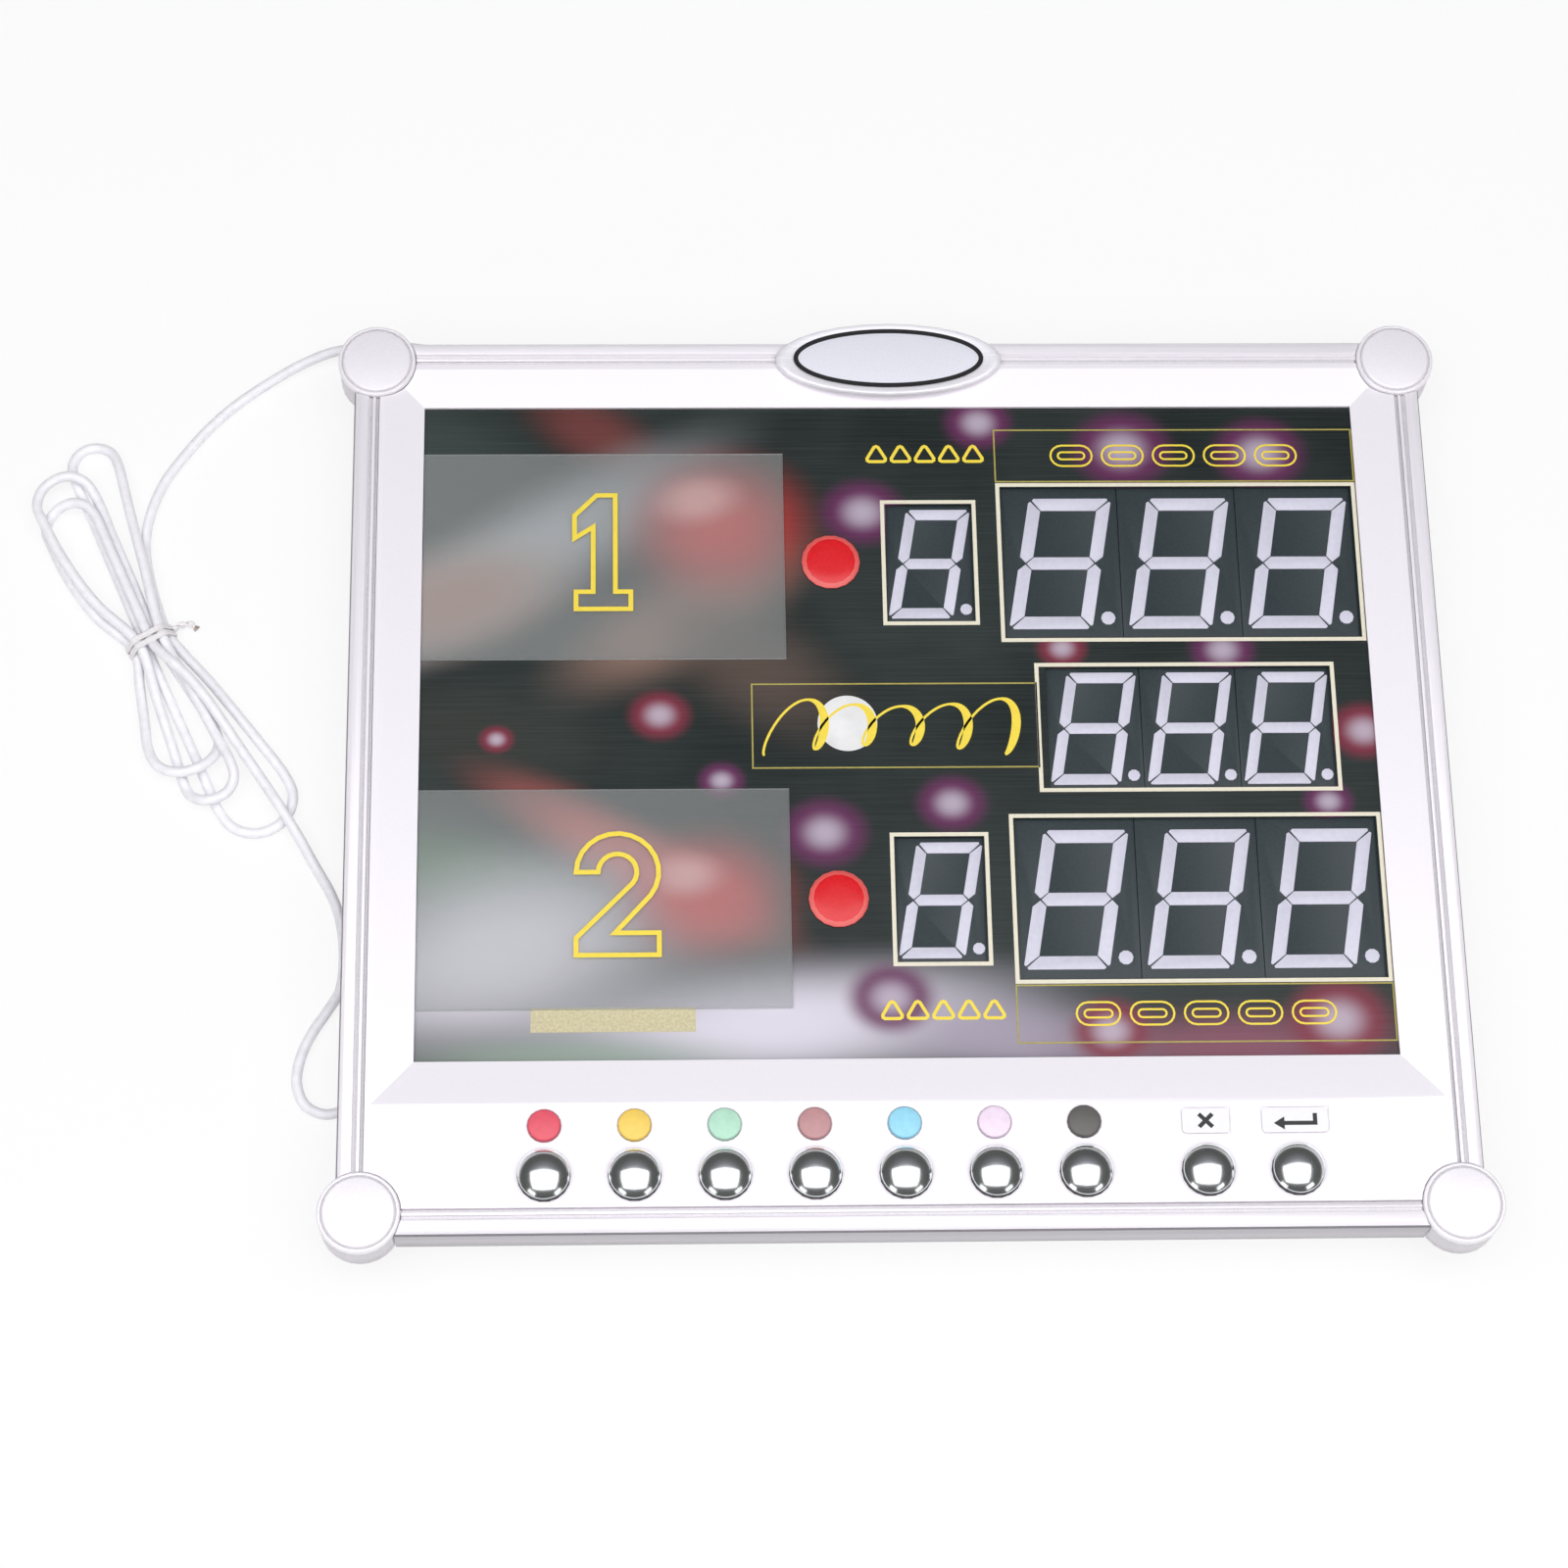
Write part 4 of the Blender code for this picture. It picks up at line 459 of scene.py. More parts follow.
# Display panel: acrylic sheet, printed on its face with a dark photo-like ground of blurred colours
# and lights, under a clear satin film with fine streaks. Windows and lamp holes are left open.
GROUND_DARK = (0.008, 0.014, 0.013)
GROUND_PALE = (0.026, 0.036, 0.034)
GROUND_LOW, GROUND_HIGH = 0.35, 0.75     # of the clouds, between which the ground pales
CLOUD_SCALE, CLOUD_DETAIL = 14.0, 3.0
PRINT_SHEEN = 0.3
PANEL_EDGE = 0.00005
FIELDS = [
    # middle x and y, half width, half height, turn in degrees, colour, strength
    (-0.185, 0.140, 0.085, 0.040, -20, (0.040, 0.056, 0.050), 0.9),
    (-0.120, 0.148, 0.045, 0.022, -30, (0.180, 0.045, 0.040), 0.8),
    (-0.150, 0.092, 0.130, 0.034, 32, (0.520, 0.540, 0.570), 0.9),
    (-0.175, 0.074, 0.070, 0.034, 16, (0.420, 0.260, 0.210), 1.0),
    (-0.085, 0.066, 0.080, 0.030, 30, (0.300, 0.180, 0.140), 0.95),
    (-0.058, 0.046, 0.070, 0.034, -35, (0.100, 0.068, 0.055), 0.9),
    (-0.070, 0.106, 0.052, 0.044, 0, (0.640, 0.045, 0.040), 1.0),
    (-0.078, 0.118, 0.026, 0.016, 10, (0.900, 0.500, 0.480), 0.8),
    (-0.165, 0.018, 0.080, 0.030, -10, (0.030, 0.034, 0.029), 0.9),
    (-0.170, -0.046, 0.085, 0.034, -14, (0.110, 0.210, 0.130), 1.0),
    (-0.105, -0.036, 0.095, 0.022, -30, (0.620, 0.150, 0.130), 0.9),
    (-0.155, -0.074, 0.110, 0.056, 15, (0.760, 0.730, 0.800), 1.0),
    (-0.076, -0.052, 0.046, 0.038, 0, (0.660, 0.040, 0.042), 1.0),
    (-0.084, -0.043, 0.021, 0.014, 0, (0.900, 0.520, 0.520), 0.8),
    (-0.050, -0.104, 0.150, 0.036, 4, (0.700, 0.660, 0.750), 1.0),
    (-0.130, -0.118, 0.100, 0.016, 0, (0.260, 0.340, 0.280), 0.8),
    (0.040, -0.110, 0.080, 0.024, -6, (0.380, 0.330, 0.420), 0.85),
    (0.125, -0.114, 0.095, 0.022, 0, (0.260, 0.080, 0.130), 0.8),
]
LIGHT_RING = (0.130, 0.022, 0.095)
LIGHT_ROSE = (0.210, 0.024, 0.050)
LIGHT_CORE = (0.560, 0.500, 0.600)
LIGHTS = [
    # middle x and y, radius, colour
    (-0.012, 0.112, 0.022, LIGHT_RING),
    (0.036, 0.152, 0.018, LIGHT_RING),
    (0.094, 0.140, 0.026, LIGHT_RING),
    (0.150, 0.138, 0.024, LIGHT_RING),
    (0.130, 0.051, 0.017, LIGHT_RING),
    (0.066, 0.052, 0.013, LIGHT_ROSE),
    (-0.094, 0.024, 0.016, LIGHT_ROSE),
    (-0.158, 0.014, 0.009, LIGHT_ROSE),
    (-0.070, -0.004, 0.012, LIGHT_RING),
    (-0.030, -0.026, 0.022, LIGHT_RING),
    (0.020, -0.014, 0.018, LIGHT_RING),
    (0.184, 0.016, 0.018, LIGHT_ROSE),
    (0.168, -0.014, 0.013, LIGHT_RING),
    (-0.006, -0.094, 0.022, LIGHT_RING),
    (0.078, -0.108, 0.020, LIGHT_ROSE),
    (0.166, -0.104, 0.026, LIGHT_ROSE),
]
LIGHT_SQUASH = 0.85              # height of a light against its width
LIGHT_STRENGTH, LIGHT_PLATEAU = 0.95, 0.4
CORE_SHARE, CORE_STRENGTH = 0.62, 0.75
# The film's fine streaks are real; their paler colour in the print is a painted sheen.
FILM_SHEEN_GREY = (0.42, 0.46, 0.45)
FILM_STRENGTH = 0.028
FILM_LOW, FILM_HIGH = 0.40, 0.75     # of the streaks, between which the film pales
STREAK_TURN = math.radians(4)
STREAK_SCALE = (22.0, 1300.0, 1.0)
STREAK_DETAIL = 4.0

print_finish = new_finish("printed_ground", GROUND_DARK, 0.24)
tree = print_finish.node_tree
print_shader = tree.nodes["Principled BSDF"].inputs
print_shader["Specular IOR Level"].default_value = PRINT_SHEEN
print_place = add_node(tree, "TexCoord").outputs["Object"]
panel_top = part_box("display_panel")[1].z


def add_spot(base, x, y, half_width, half_height, turn, strength, colour, plateau=0.0):
    """Blends an oval spot into the print, from its strength on the plateau to nothing at its edge."""
    into_spot = add_node(tree, "Mapping", {
        "Vector": print_place, "Location": (x, y, panel_top), "Rotation": (0.0, 0.0, math.radians(turn)),
        "Scale": (half_width, half_height, 1.0)}, vector_type="TEXTURE")
    distance = add_node(tree, "VectorMath", {0: into_spot.outputs["Vector"]}, operation="LENGTH")
    spread = add_node(tree, "MapRange", {
        "Value": distance.outputs["Value"], "From Min": 1.0, "From Max": plateau, "To Max": strength,
    }, interpolation_type="SMOOTHERSTEP")
    return mix_colours(tree, base, spread.outputs["Result"], colour)


cloud = add_node(tree, "TexNoise", {"Vector": print_place, "Scale": CLOUD_SCALE, "Detail": CLOUD_DETAIL})
picture = add_ramp(tree, cloud.outputs["Fac"], [(GROUND_LOW, GROUND_DARK), (GROUND_HIGH, GROUND_PALE)])
for x, y, half_width, half_height, turn, colour, strength in FIELDS:
    picture = add_spot(picture, x, y, half_width, half_height, turn, strength, colour)
for x, y, radius, colour in LIGHTS:
    core = radius * CORE_SHARE
    picture = add_spot(picture, x, y, radius, radius * LIGHT_SQUASH, 0, LIGHT_STRENGTH, colour, LIGHT_PLATEAU)
    picture = add_spot(picture, x, y, core, core * LIGHT_SQUASH, 0, CORE_STRENGTH, LIGHT_CORE)
# Painted sheen: the film's streaks, mixed paler into the print's colour.
along_streaks = add_node(tree, "Mapping", {
    "Vector": print_place, "Rotation": (0.0, 0.0, STREAK_TURN), "Scale": STREAK_SCALE})
streaks = add_node(tree, "TexNoise", {
    "Vector": along_streaks.outputs["Vector"], "Scale": 1.0, "Detail": STREAK_DETAIL})
film = add_node(tree, "MapRange", {
    "Value": streaks.outputs["Fac"], "From Min": FILM_LOW, "From Max": FILM_HIGH, "To Max": FILM_STRENGTH})
picture = mix_colours(tree, picture, film.outputs["Result"], FILM_SHEEN_GREY)
tree.links.new(picture, print_shader["Base Color"])
dress("display_panel", print_finish, PANEL_EDGE, flat=True)


# Printed lines: the cream borders round the windows, and the thin gold boxes beside them, screen
# printed on the panel.
BORDER = 0.0016
BORDER_LAP_X, BORDER_LAP_Y = 0.12, 0.92  # shares of its width that lie over the modules
GOLD_LINE = 0.0006
CREAM = (0.82, 0.77, 0.62)
GOLD = (0.42, 0.36, 0.08)
HEADING_HEIGHT = 0.0232
HEADING_SIDE = 0.0012
BREAK_SPARE = 0.0022             # panel left of the break digits, inside their border
BREAK_BOX = (-0.0576, 0.0550, 0.0013, 0.0370)
INK_GRAIN = 600.0


def module_window(first, last):
    """Left, right, low and high edge of a row of modules."""
    low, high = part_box(first)[0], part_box(last)[1]
    return low.x, high.x, low.y, high.y


ink_level = panel_top + INK_LIFT
window_a = module_window("score_digit_a_1", "score_digit_a_3")
window_b = module_window("score_digit_b_1", "score_digit_b_3")
window_break = module_window("break_digit_1", "break_digit_3")
window_break = (window_break[0] - BREAK_SPARE, *window_break[1:])
frames_a = module_window("frames_digit_a", "frames_digit_a")
frames_b = module_window("frames_digit_b", "frames_digit_b")
lap_x, lap_y = BORDER * (BORDER_LAP_X - 0.5), BORDER * (BORDER_LAP_Y - 0.5)
bm = bmesh.new()
for left, right, low, high in (window_a, window_b, window_break, frames_a, frames_b):
    add_ribbon(bm, box_corners(left + lap_x, right - lap_x, low + lap_y, high - lap_y), BORDER, ink_level)
cream_ink = new_finish("cream_ink", CREAM, 0.45, grain=INK_GRAIN, tint=0.03)
add_piece("window_borders", bm, cream_ink)

bm = bmesh.new()
for (left, right, low, high), side in ((window_a, 1), (window_b, -1)):
    near = high + BORDER / 2 if side > 0 else low - BORDER / 2
    far = near + side * HEADING_HEIGHT
    corners = box_corners(left - HEADING_SIDE, right + HEADING_SIDE, min(near, far), max(near, far))
    add_ribbon(bm, corners, GOLD_LINE, ink_level)
add_ribbon(bm, box_corners(*BREAK_BOX), GOLD_LINE, ink_level)
gold_ink = new_finish("gold_ink", GOLD, 0.40, grain=INK_GRAIN, tint=0.10)
add_piece("heading_boxes", bm, gold_ink)


# Printed marks: yellow signs in place of words. Open ovals head the scores, small racks of balls
# the frames, and a flourish over a white ball the break. A pale strip stands for small print.
YELLOW = (0.93, 0.72, 0.06)
MARKS = 5                        # in each row
OVAL_WIDTH = 0.0168
OVAL_HEIGHT = 0.0092
OVAL_PITCH = 0.0208
OVAL_LINE = 0.0008
OVAL_GAP = 0.0030                # between the two outlines of an oval
RACK_PITCH = 0.0098
RACK_RADIUS = 0.0042
RACK_LINE = 0.0013
RACK_TURN, RACK_CUT = 0.21, 0.93     # a rounded corner's half width in radians, and its sides' reach
RACKS_X = 0.0139
RACKS_RISE = 0.0201              # racks' middle from the edge of the frames window
RACKS_DROP = 0.0187
DISC_WHITE = (0.80, 0.80, 0.80)
DISC_RADIUS = 0.0118
DISC_SIDES = 48
DISC_X = -0.0201
DISC_RISE = 0.0010               # over the middle of its box
FLOURISH_INSET = 0.009           # of its ends from the sides of the box
FLOURISH_WIDE = 0.0036
FLOURISH_THIN = 0.0010
FLOURISH_WAVES = 5.0
FLOURISH_STEPS = 260
FLOURISH_HEIGHT = 0.0125
FLOURISH_DIP = 0.35              # of its height, in the middle
FLOURISH_LOOP = 0.0052
FLOURISH_LEAN = 0.35
STRIP = (-0.144, -0.081, -0.107, -0.0972)
STRIP_STRAW = (0.60, 0.54, 0.34)


def row_of_marks(middle, pitch):
    return [middle + (i - (MARKS - 1) / 2) * pitch for i in range(MARKS)]


def stadium(x, y, width, height, steps=8):
    """Outline of a bar with round ends."""
    radius = height / 2
    reach = width / 2 - radius
    right = arc(x + reach, y, radius, -math.pi / 2, math.pi / 2, steps)
    return right + arc(x - reach, y, radius, math.pi / 2, 1.5 * math.pi, steps)


bm = bmesh.new()
for (left, right, low, high), side in ((window_a, 1), (window_b, -1)):
    y = (high if side > 0 else low) + side * (BORDER + HEADING_HEIGHT) / 2
    for x in row_of_marks((left + right) / 2, OVAL_PITCH):
        for less in (0.0, 2 * OVAL_GAP):
            add_ribbon(bm, stadium(x, y, OVAL_WIDTH - less, OVAL_HEIGHT - less), OVAL_LINE, ink_level)
for y in (frames_a[3] + RACKS_RISE, frames_b[2] - RACKS_DROP):
    for x in row_of_marks(RACKS_X, RACK_PITCH):
        rack = []
        for corner in range(3):
            for turn, share in ((-RACK_TURN, RACK_CUT), (0.0, 1.0), (RACK_TURN, RACK_CUT)):
                angle = math.pi / 2 + corner * 2 * math.pi / 3 + turn
                reach = RACK_RADIUS * share
                rack.append((x + reach * math.cos(angle), y + reach * math.sin(angle)))
        add_ribbon(bm, rack, RACK_LINE, ink_level)
yellow_ink = new_finish("yellow_ink", YELLOW, 0.40, grain=INK_GRAIN, tint=0.04)
add_piece("heading_marks", bm, yellow_ink)

strip_ink = new_finish("strip_ink", STRIP_STRAW, 0.45, grain=900.0, tint=0.14)
bm = bmesh.new()
add_slab(bm, box_corners(*STRIP), ink_level, ink_level + INK)
add_piece("blank_strip", bm, strip_ink)

break_y = (BREAK_BOX[2] + BREAK_BOX[3]) / 2
white_ink = new_finish("white_ink", DISC_WHITE, 0.40, grain=90.0, tint=0.10)
bm = bmesh.new()
disc_levels = (ink_level, ink_level + INK / 2)
add_rings(bm, [ring(DISC_RADIUS, z, DISC_SIDES, DISC_X, break_y + DISC_RISE) for z in disc_levels])
add_piece("break_disc", bm, white_ink)

flourish, widths = [], []
flourish_left, flourish_right = BREAK_BOX[0] + FLOURISH_INSET, BREAK_BOX[1] - FLOURISH_INSET
for i in range(FLOURISH_STEPS + 1):
    share = i / FLOURISH_STEPS
    turn = 2 * math.pi * FLOURISH_WAVES * share
    rise = -FLOURISH_HEIGHT * (1.0 - FLOURISH_DIP * math.sin(math.pi * share)) * math.cos(turn)
    x = flourish_left + (flourish_right - flourish_left) * share - FLOURISH_LOOP * math.sin(turn)
    flourish.append((x + FLOURISH_LEAN * rise, break_y + rise))
    widths.append(FLOURISH_THIN + (FLOURISH_WIDE - FLOURISH_THIN) * max(0.0, -math.sin(turn)))
bm = bmesh.new()
add_ribbon(bm, flourish, widths, ink_level + INK / 2, closed=False)
add_piece("break_flourish", bm, yellow_ink)


# Name plates: thin frosted acrylic sheets laid on the panel, which pale the print under them and
# take a pen. Each carries the outlined number of its player.
FROST = (0.48, 0.51, 0.51)
FROST_COVER = 0.20
CUT_FROST = (0.66, 0.68, 0.68)
CUT_COVER = 0.75
GLYPH_LINE = 0.0019
GLYPH_RISE = 0.0016
GLYPH_WIDTH = 0.0340
GLYPH_HEIGHT = 0.0500
GLYPH_STEPS = 14                 # along an arc of the 2

frost = new_finish("frosted_acrylic", FROST, 0.30, grain=500.0, tint=0.04)
frost.node_tree.nodes["Principled BSDF"].inputs["Alpha"].default_value = FROST_COVER
cut_edge = new_finish("sawn_acrylic_edge", CUT_FROST, 0.45, grain=700.0)
cut_edge.node_tree.nodes["Principled BSDF"].inputs["Alpha"].default_value = CUT_COVER
for plate in ("name_plate_a", "name_plate_b"):
    mark_faces(dress(plate, frost, FINE_EDGE), cut_edge, lambda face: abs(face.normal.z) < FACING_UP)


def number_one(width, height):
    """Outline of a heavy 1, in shares of its width and height."""
    shares = [
        (0.18, 0.0), (0.82, 0.0), (0.82, 0.15), (0.64, 0.15), (0.64, 1.0),
        (0.42, 1.0), (0.16, 0.82), (0.16, 0.62), (0.38, 0.72), (0.38, 0.15), (0.18, 0.15),
    ]
    return [(width * (x - 0.5), height * (y - 0.5)) for x, y in shares]


def number_two(width, height):
    """Outline of a heavy 2, in shares of its width and height: two arcs, a diagonal and a foot."""
    outer, inner = width * 0.47, width * 0.22
    y, foot = height / 2 - outer, -height / 2
    end = math.radians(-38)
    points = arc(0.0, y, outer, math.pi, end, GLYPH_STEPS)
    points += [(-width * 0.03, foot + height * 0.18), (outer, foot + height * 0.18)]
    points += [(outer, foot), (-outer, foot), (-outer, foot + height * 0.14)]
    return points + arc(0.0, y, inner, end, math.pi, GLYPH_STEPS)


bm = bmesh.new()
for plate, x, glyph in (("name_plate_a", -0.1160, number_one), ("name_plate_b", -0.1107, number_two)):
    _, high, middle = extent(plate)
    y = middle.y + GLYPH_RISE
    outline = [(x + px, y + py) for px, py in glyph(GLYPH_WIDTH, GLYPH_HEIGHT)]
    add_ribbon(bm, outline, GLYPH_LINE, high.z + INK_LIFT)
add_piece("player_numbers", bm, yellow_ink)


# Lamps: red acrylic lenses that show whose turn it is, each with a paler moulded rim and a cut
# pattern behind its face.
LENS_RED = (0.74, 0.010, 0.016)
RIM_RED = (0.80, 0.12, 0.11)
RIM_START = 0.84                 # of the lens's radius

lens_finish = new_finish("red_lens", LENS_RED, 0.22, grain=1100.0, tint=0.10, relief=0.00004)
rim_finish = new_finish("red_rim", RIM_RED, 0.35, grain=700.0, tint=0.06)
for lamp in ("turn_lamp_a", "turn_lamp_b"):
    low, high, middle = extent(lamp)
    rim_start = (high.x - low.x) / 2 * RIM_START
    mark_faces(
        dress(lamp, lens_finish, FINE_EDGE), rim_finish,
        lambda face: (face.center.xy - middle.xy).length > rim_start)


# Badge: an oval base in polished silver across the top rail, with a pearl plate in its recess. The
# plate is blank but for a black line round it.
BADGE_SILVER = (0.92, 0.90, 0.95)
BADGE_PEARL = (0.80, 0.80, 0.88)
BADGE_CREASE = 60.0
BADGE_LINE = 0.0019
BADGE_LINE_INSET = 0.0004
BADGE_SIDES = 96
INK_BLACK = (0.010, 0.010, 0.012)

badge_finish = new_finish(
    "badge_silver", BADGE_SILVER, 0.26, 0.12, grain=900.0, stretch=(DIE_STRETCH, 1.0, 1.0), tint=0.04)
dress("badge_base", badge_finish, FINE_EDGE, limit=BADGE_CREASE)
pearl = new_finish("badge_pearl", BADGE_PEARL, 0.28, grain=2200.0, tint=0.03)
dress("badge_plate", pearl, FINE_EDGE)
_, high, middle = extent("badge_plate")
half_width = high.x - middle.x - BADGE_LINE_INSET
half_height = high.y - middle.y - BADGE_LINE_INSET
bm = bmesh.new()
oval = [(middle.x + x * half_width, middle.y + y * half_height) for x, y, _ in ring(1.0, 0.0, BADGE_SIDES)]
add_ribbon(bm, oval, BADGE_LINE, high.z + INK_LIFT)
black_ink = new_finish("black_ink", INK_BLACK, 0.35, grain=500.0, tint=0.2)
add_piece("badge_line", bm, black_ink)


# Push buttons: domed steel caps in bright chrome, each crimped on a plunger that runs through the
# surround and down to its switch. Everything below the dome is black, the wall round its foot too,
# which shows as a dark ring round the dome.
CHROME = (0.74, 0.76, 0.77)
BLACK_BELOW_DOME = (0.030, 0.030, 0.030)
SKIRT_RADIUS = 0.0098
RIM_WIDTH = 0.00025
RIM_ROLL = 0.0001
DOME_HEIGHT = 0.0040
DOME_STEPS = 24
CAP_SIDES = 64
CATCH_RADIUS = 0.0111
CATCH_RISE = 0.0046              # of its underside over the stem's foot
CATCH_THICK = 0.0014
STEM_RADIUS = 0.0030

chrome = new_finish("chrome", CHROME, 0.17, 1.0, grain=120.0, tint=0.01, gloss=0.02)
below_dome_finish = new_finish("black_below_dome", BLACK_BELOW_DOME, 0.45, grain=900.0, tint=0.15)
dome_radius = SKIRT_RADIUS - RIM_WIDTH
sphere = (dome_radius ** 2 + DOME_HEIGHT ** 2) / (2 * DOME_HEIGHT)
edge_angle = math.asin(dome_radius / sphere)
for name in sorted(name for name in nodes if name.startswith("button_")):
    low, high, middle = extent(name)
    catch = low.z + CATCH_RISE
    foot = high.z - DOME_HEIGHT
    profile = [
        (STEM_RADIUS, low.z),
        (STEM_RADIUS, catch),
        (CATCH_RADIUS, catch),
        (CATCH_RADIUS, catch + CATCH_THICK),
        (SKIRT_RADIUS, catch + CATCH_THICK),
        (SKIRT_RADIUS, foot),
        (SKIRT_RADIUS - RIM_ROLL, foot + RIM_ROLL),
    ]
    for i in range(DOME_STEPS):
        angle = edge_angle * (1 - i / DOME_STEPS)
        profile.append((sphere * math.sin(angle), high.z - sphere * (1 - math.cos(angle))))
    bm = bmesh.new()
    add_rings(bm, [ring(radius, z, CAP_SIDES, middle.x, middle.y) for radius, z in profile])
    cap = add_piece(f"{name}_cap", bm, chrome, body=name, smooth=True)
    # Everything below the dome is black, a dark ring round it.
    mark_faces(cap, below_dome_finish, lambda face: face.center.z < foot)
    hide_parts(name)


# Markers and labels: soft pads in the colours of the balls over their buttons, and two white
# labels with a black sign each for the cancel and confirm buttons.
PADS = {
    "red": (0.80, 0.10, 0.145),
    "yellow": (0.93, 0.64, 0.12),
    "green": (0.47, 0.77, 0.60),
    "brown": (0.54, 0.28, 0.29),
    "blue": (0.32, 0.71, 0.90),
    "pink": (0.91, 0.75, 0.90),
    "black": (0.120, 0.112, 0.108),
}
PAD_GRAIN = 420.0
# share of a pad's colour on its sides, darkened as painted shade
PAD_SIDE_SHADE = 0.74            # of the colour that its tight side shows
LABEL_WHITE = (0.90, 0.89, 0.91)
LABEL_HEIGHT = 0.0098
LABEL_WIDTHS = {"cancel": 0.0180, "confirm": 0.0252}
LABEL_EDGE = 0.00015
LABEL_CORNER = 0.0014
LABEL_CORNER_STEPS = 5
LABEL_FOOT = 0.0003              # under the surround's face
LABEL_RISE = 0.0003              # over it
SIGN_LINE = 0.0016
SIGN_REACH = 0.26 * LABEL_HEIGHT
SIGNS = {
    # lines, in reaches from the label's middle
    "cancel": [[(-1, 1), (1, -1)], [(-1, -1), (1, 1)]],
    "confirm": [[(3, 1), (3, -0.5), (-1.6, -0.5)]],
}
ARROW_TIP = [(-3.2, -0.5), (-1.6, -1.5), (-1.6, 0.5)]

for colour, value in PADS.items():
    pad_finish = new_finish(f"pad_{colour}", value, 0.42, grain=PAD_GRAIN, gloss=0.08, relief=0.00003)
    # Painted shade: each pad's sides take a darker copy of its colour.
    shaded_side_colour = [part * PAD_SIDE_SHADE for part in value]
    shaded_side_finish = new_finish(f"pad_side_shade_{colour}", shaded_side_colour, 0.45, grain=PAD_GRAIN)
    pad = dress(f"marker_{colour}", pad_finish, ROUND_EDGE)
    mark_faces(pad, shaded_side_finish, lambda face: face.normal.z < FACING_UP)
face_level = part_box("front_surround")[1].z
sign_level = face_level + LABEL_RISE + INK_LIFT
label_y = extent("marker_red")[2].y
label_finish = new_finish("label_film", LABEL_WHITE, 0.35, grain=500.0, tint=0.02)
for label, width in LABEL_WIDTHS.items():
    x = extent(f"button_{label}")[2].x
    reach_x, reach_y = width / 2 - LABEL_CORNER, LABEL_HEIGHT / 2 - LABEL_CORNER
    outline = []
    for side_x, side_y, first in ((1, 1, 0.0), (-1, 1, 0.5), (-1, -1, 1.0), (1, -1, 1.5)):
        place = (x + side_x * reach_x, label_y + side_y * reach_y)
        outline += arc(*place, LABEL_CORNER, math.pi * first, math.pi * (first + 0.5), LABEL_CORNER_STEPS)
    bm = bmesh.new()
    add_slab(bm, outline, face_level - LABEL_FOOT, face_level + LABEL_RISE)
    soften(add_piece(f"{label}_label", bm, label_finish), LABEL_EDGE)
    bm = bmesh.new()
    for i, line in enumerate(SIGNS[label]):
        points = [(x + SIGN_REACH * px, label_y + SIGN_REACH * py) for px, py in line]
        add_ribbon(bm, points, SIGN_LINE, sign_level + i * INK / 2, closed=False)
    if label == "confirm":
        tip = [(x + SIGN_REACH * px, label_y + SIGN_REACH * py) for px, py in ARROW_TIP]
        add_slab(bm, tip, sign_level, sign_level + INK)
    add_piece(f"{label}_sign", bm, black_ink)


# Gland: a moulded strain relief in the case's top wall, with a flange outside and a tapered sleeve
# round the lead.
GLAND_GREY = (0.60, 0.60, 0.63)

gland_finish = new_finish("gland_nylon", GLAND_GREY, 0.45, grain=700.0, gloss=0.06)
dress("cord_gland", gland_finish, ROUND_EDGE)


# Lead: one round two-core lead in white PVC. It leaves the gland, runs left to a hank of six long
# half turns held by a wire tie, and ends in a barrel plug under the left rail.
SLEEVE_WHITE = (0.93, 0.92, 0.96)
CORD_DIAMETER = 0.0042
CORD_REST = 0.0023               # middle of the lead over the floor where it lies
CORD_SINK = 0.0001               # that its smooth curve may dip under that
CORD_PARTS = 5                   # of the curve between two points of the route
LAYER = 0.0049                   # between the middles of strands that cross
SLOT = 0.0025
HANK_X, HANK_Y = -0.1271, -0.0928
HANK_LINE = math.radians(120.4)
LEAD_ROUTE = [
    # from the gland's foot on the case: x, y, rise over the lead's rest
    (-0.0022, 0.0250, 0.0091),
    (-0.0085, 0.0320, 0.0080),
    (-0.0180, 0.0363, 0.0068),
    (-0.0280, 0.0383, 0.0057),
    (-0.0410, 0.0389, 0.0042),
    (-0.0568, 0.0379, 0.0027),
    (-0.0701, 0.0326, 0.0015),
    (-0.0833, 0.0245, 0.0006),
    (-0.0963, 0.0148, 0.0001),
    (-0.1076, 0.0035, 0.0),
    (-0.1168, -0.0085, 0.0),
]
TAIL_ROUTE = [
    (-0.0533, -0.1992, 0.0),
    (-0.0491, -0.2100, 0.0),
    (-0.0469, -0.2250, 0.0),
    (-0.0481, -0.2405, 0.0),
    (-0.0530, -0.2495, 0.0),
    (-0.0581, -0.2575, 0.0),
    (-0.0623, -0.2670, 0.0),
    (-0.0639, -0.2784, 0.0),
    (-0.0601, -0.2875, 0.0),
    (-0.0516, -0.2910, 0.0),
    (-0.0429, -0.2868, 0.0),
    (-0.0383, -0.2770, 0.0),
    (-0.0359, -0.2640, 0.0002),
    (-0.0343, -0.2490, 0.0010),
    (-0.0336, -0.2350, 0.0021),
]
PLUG_SOCKET = 0.0037
GLAND_REACH = 0.0153             # of the gland out of the case's top wall
GLAND_HOLD = 0.0080              # of the lead inside the gland's tip
STRAND_SLOTS = [3, -1, 2, -2, 1, -3, 0]
HANK_START = [(0.0610, 0.0388), (0.0512, 0.0270), (0.0402, 0.0188), (0.0270, 0.0134), (0.0135, 0.0098)]
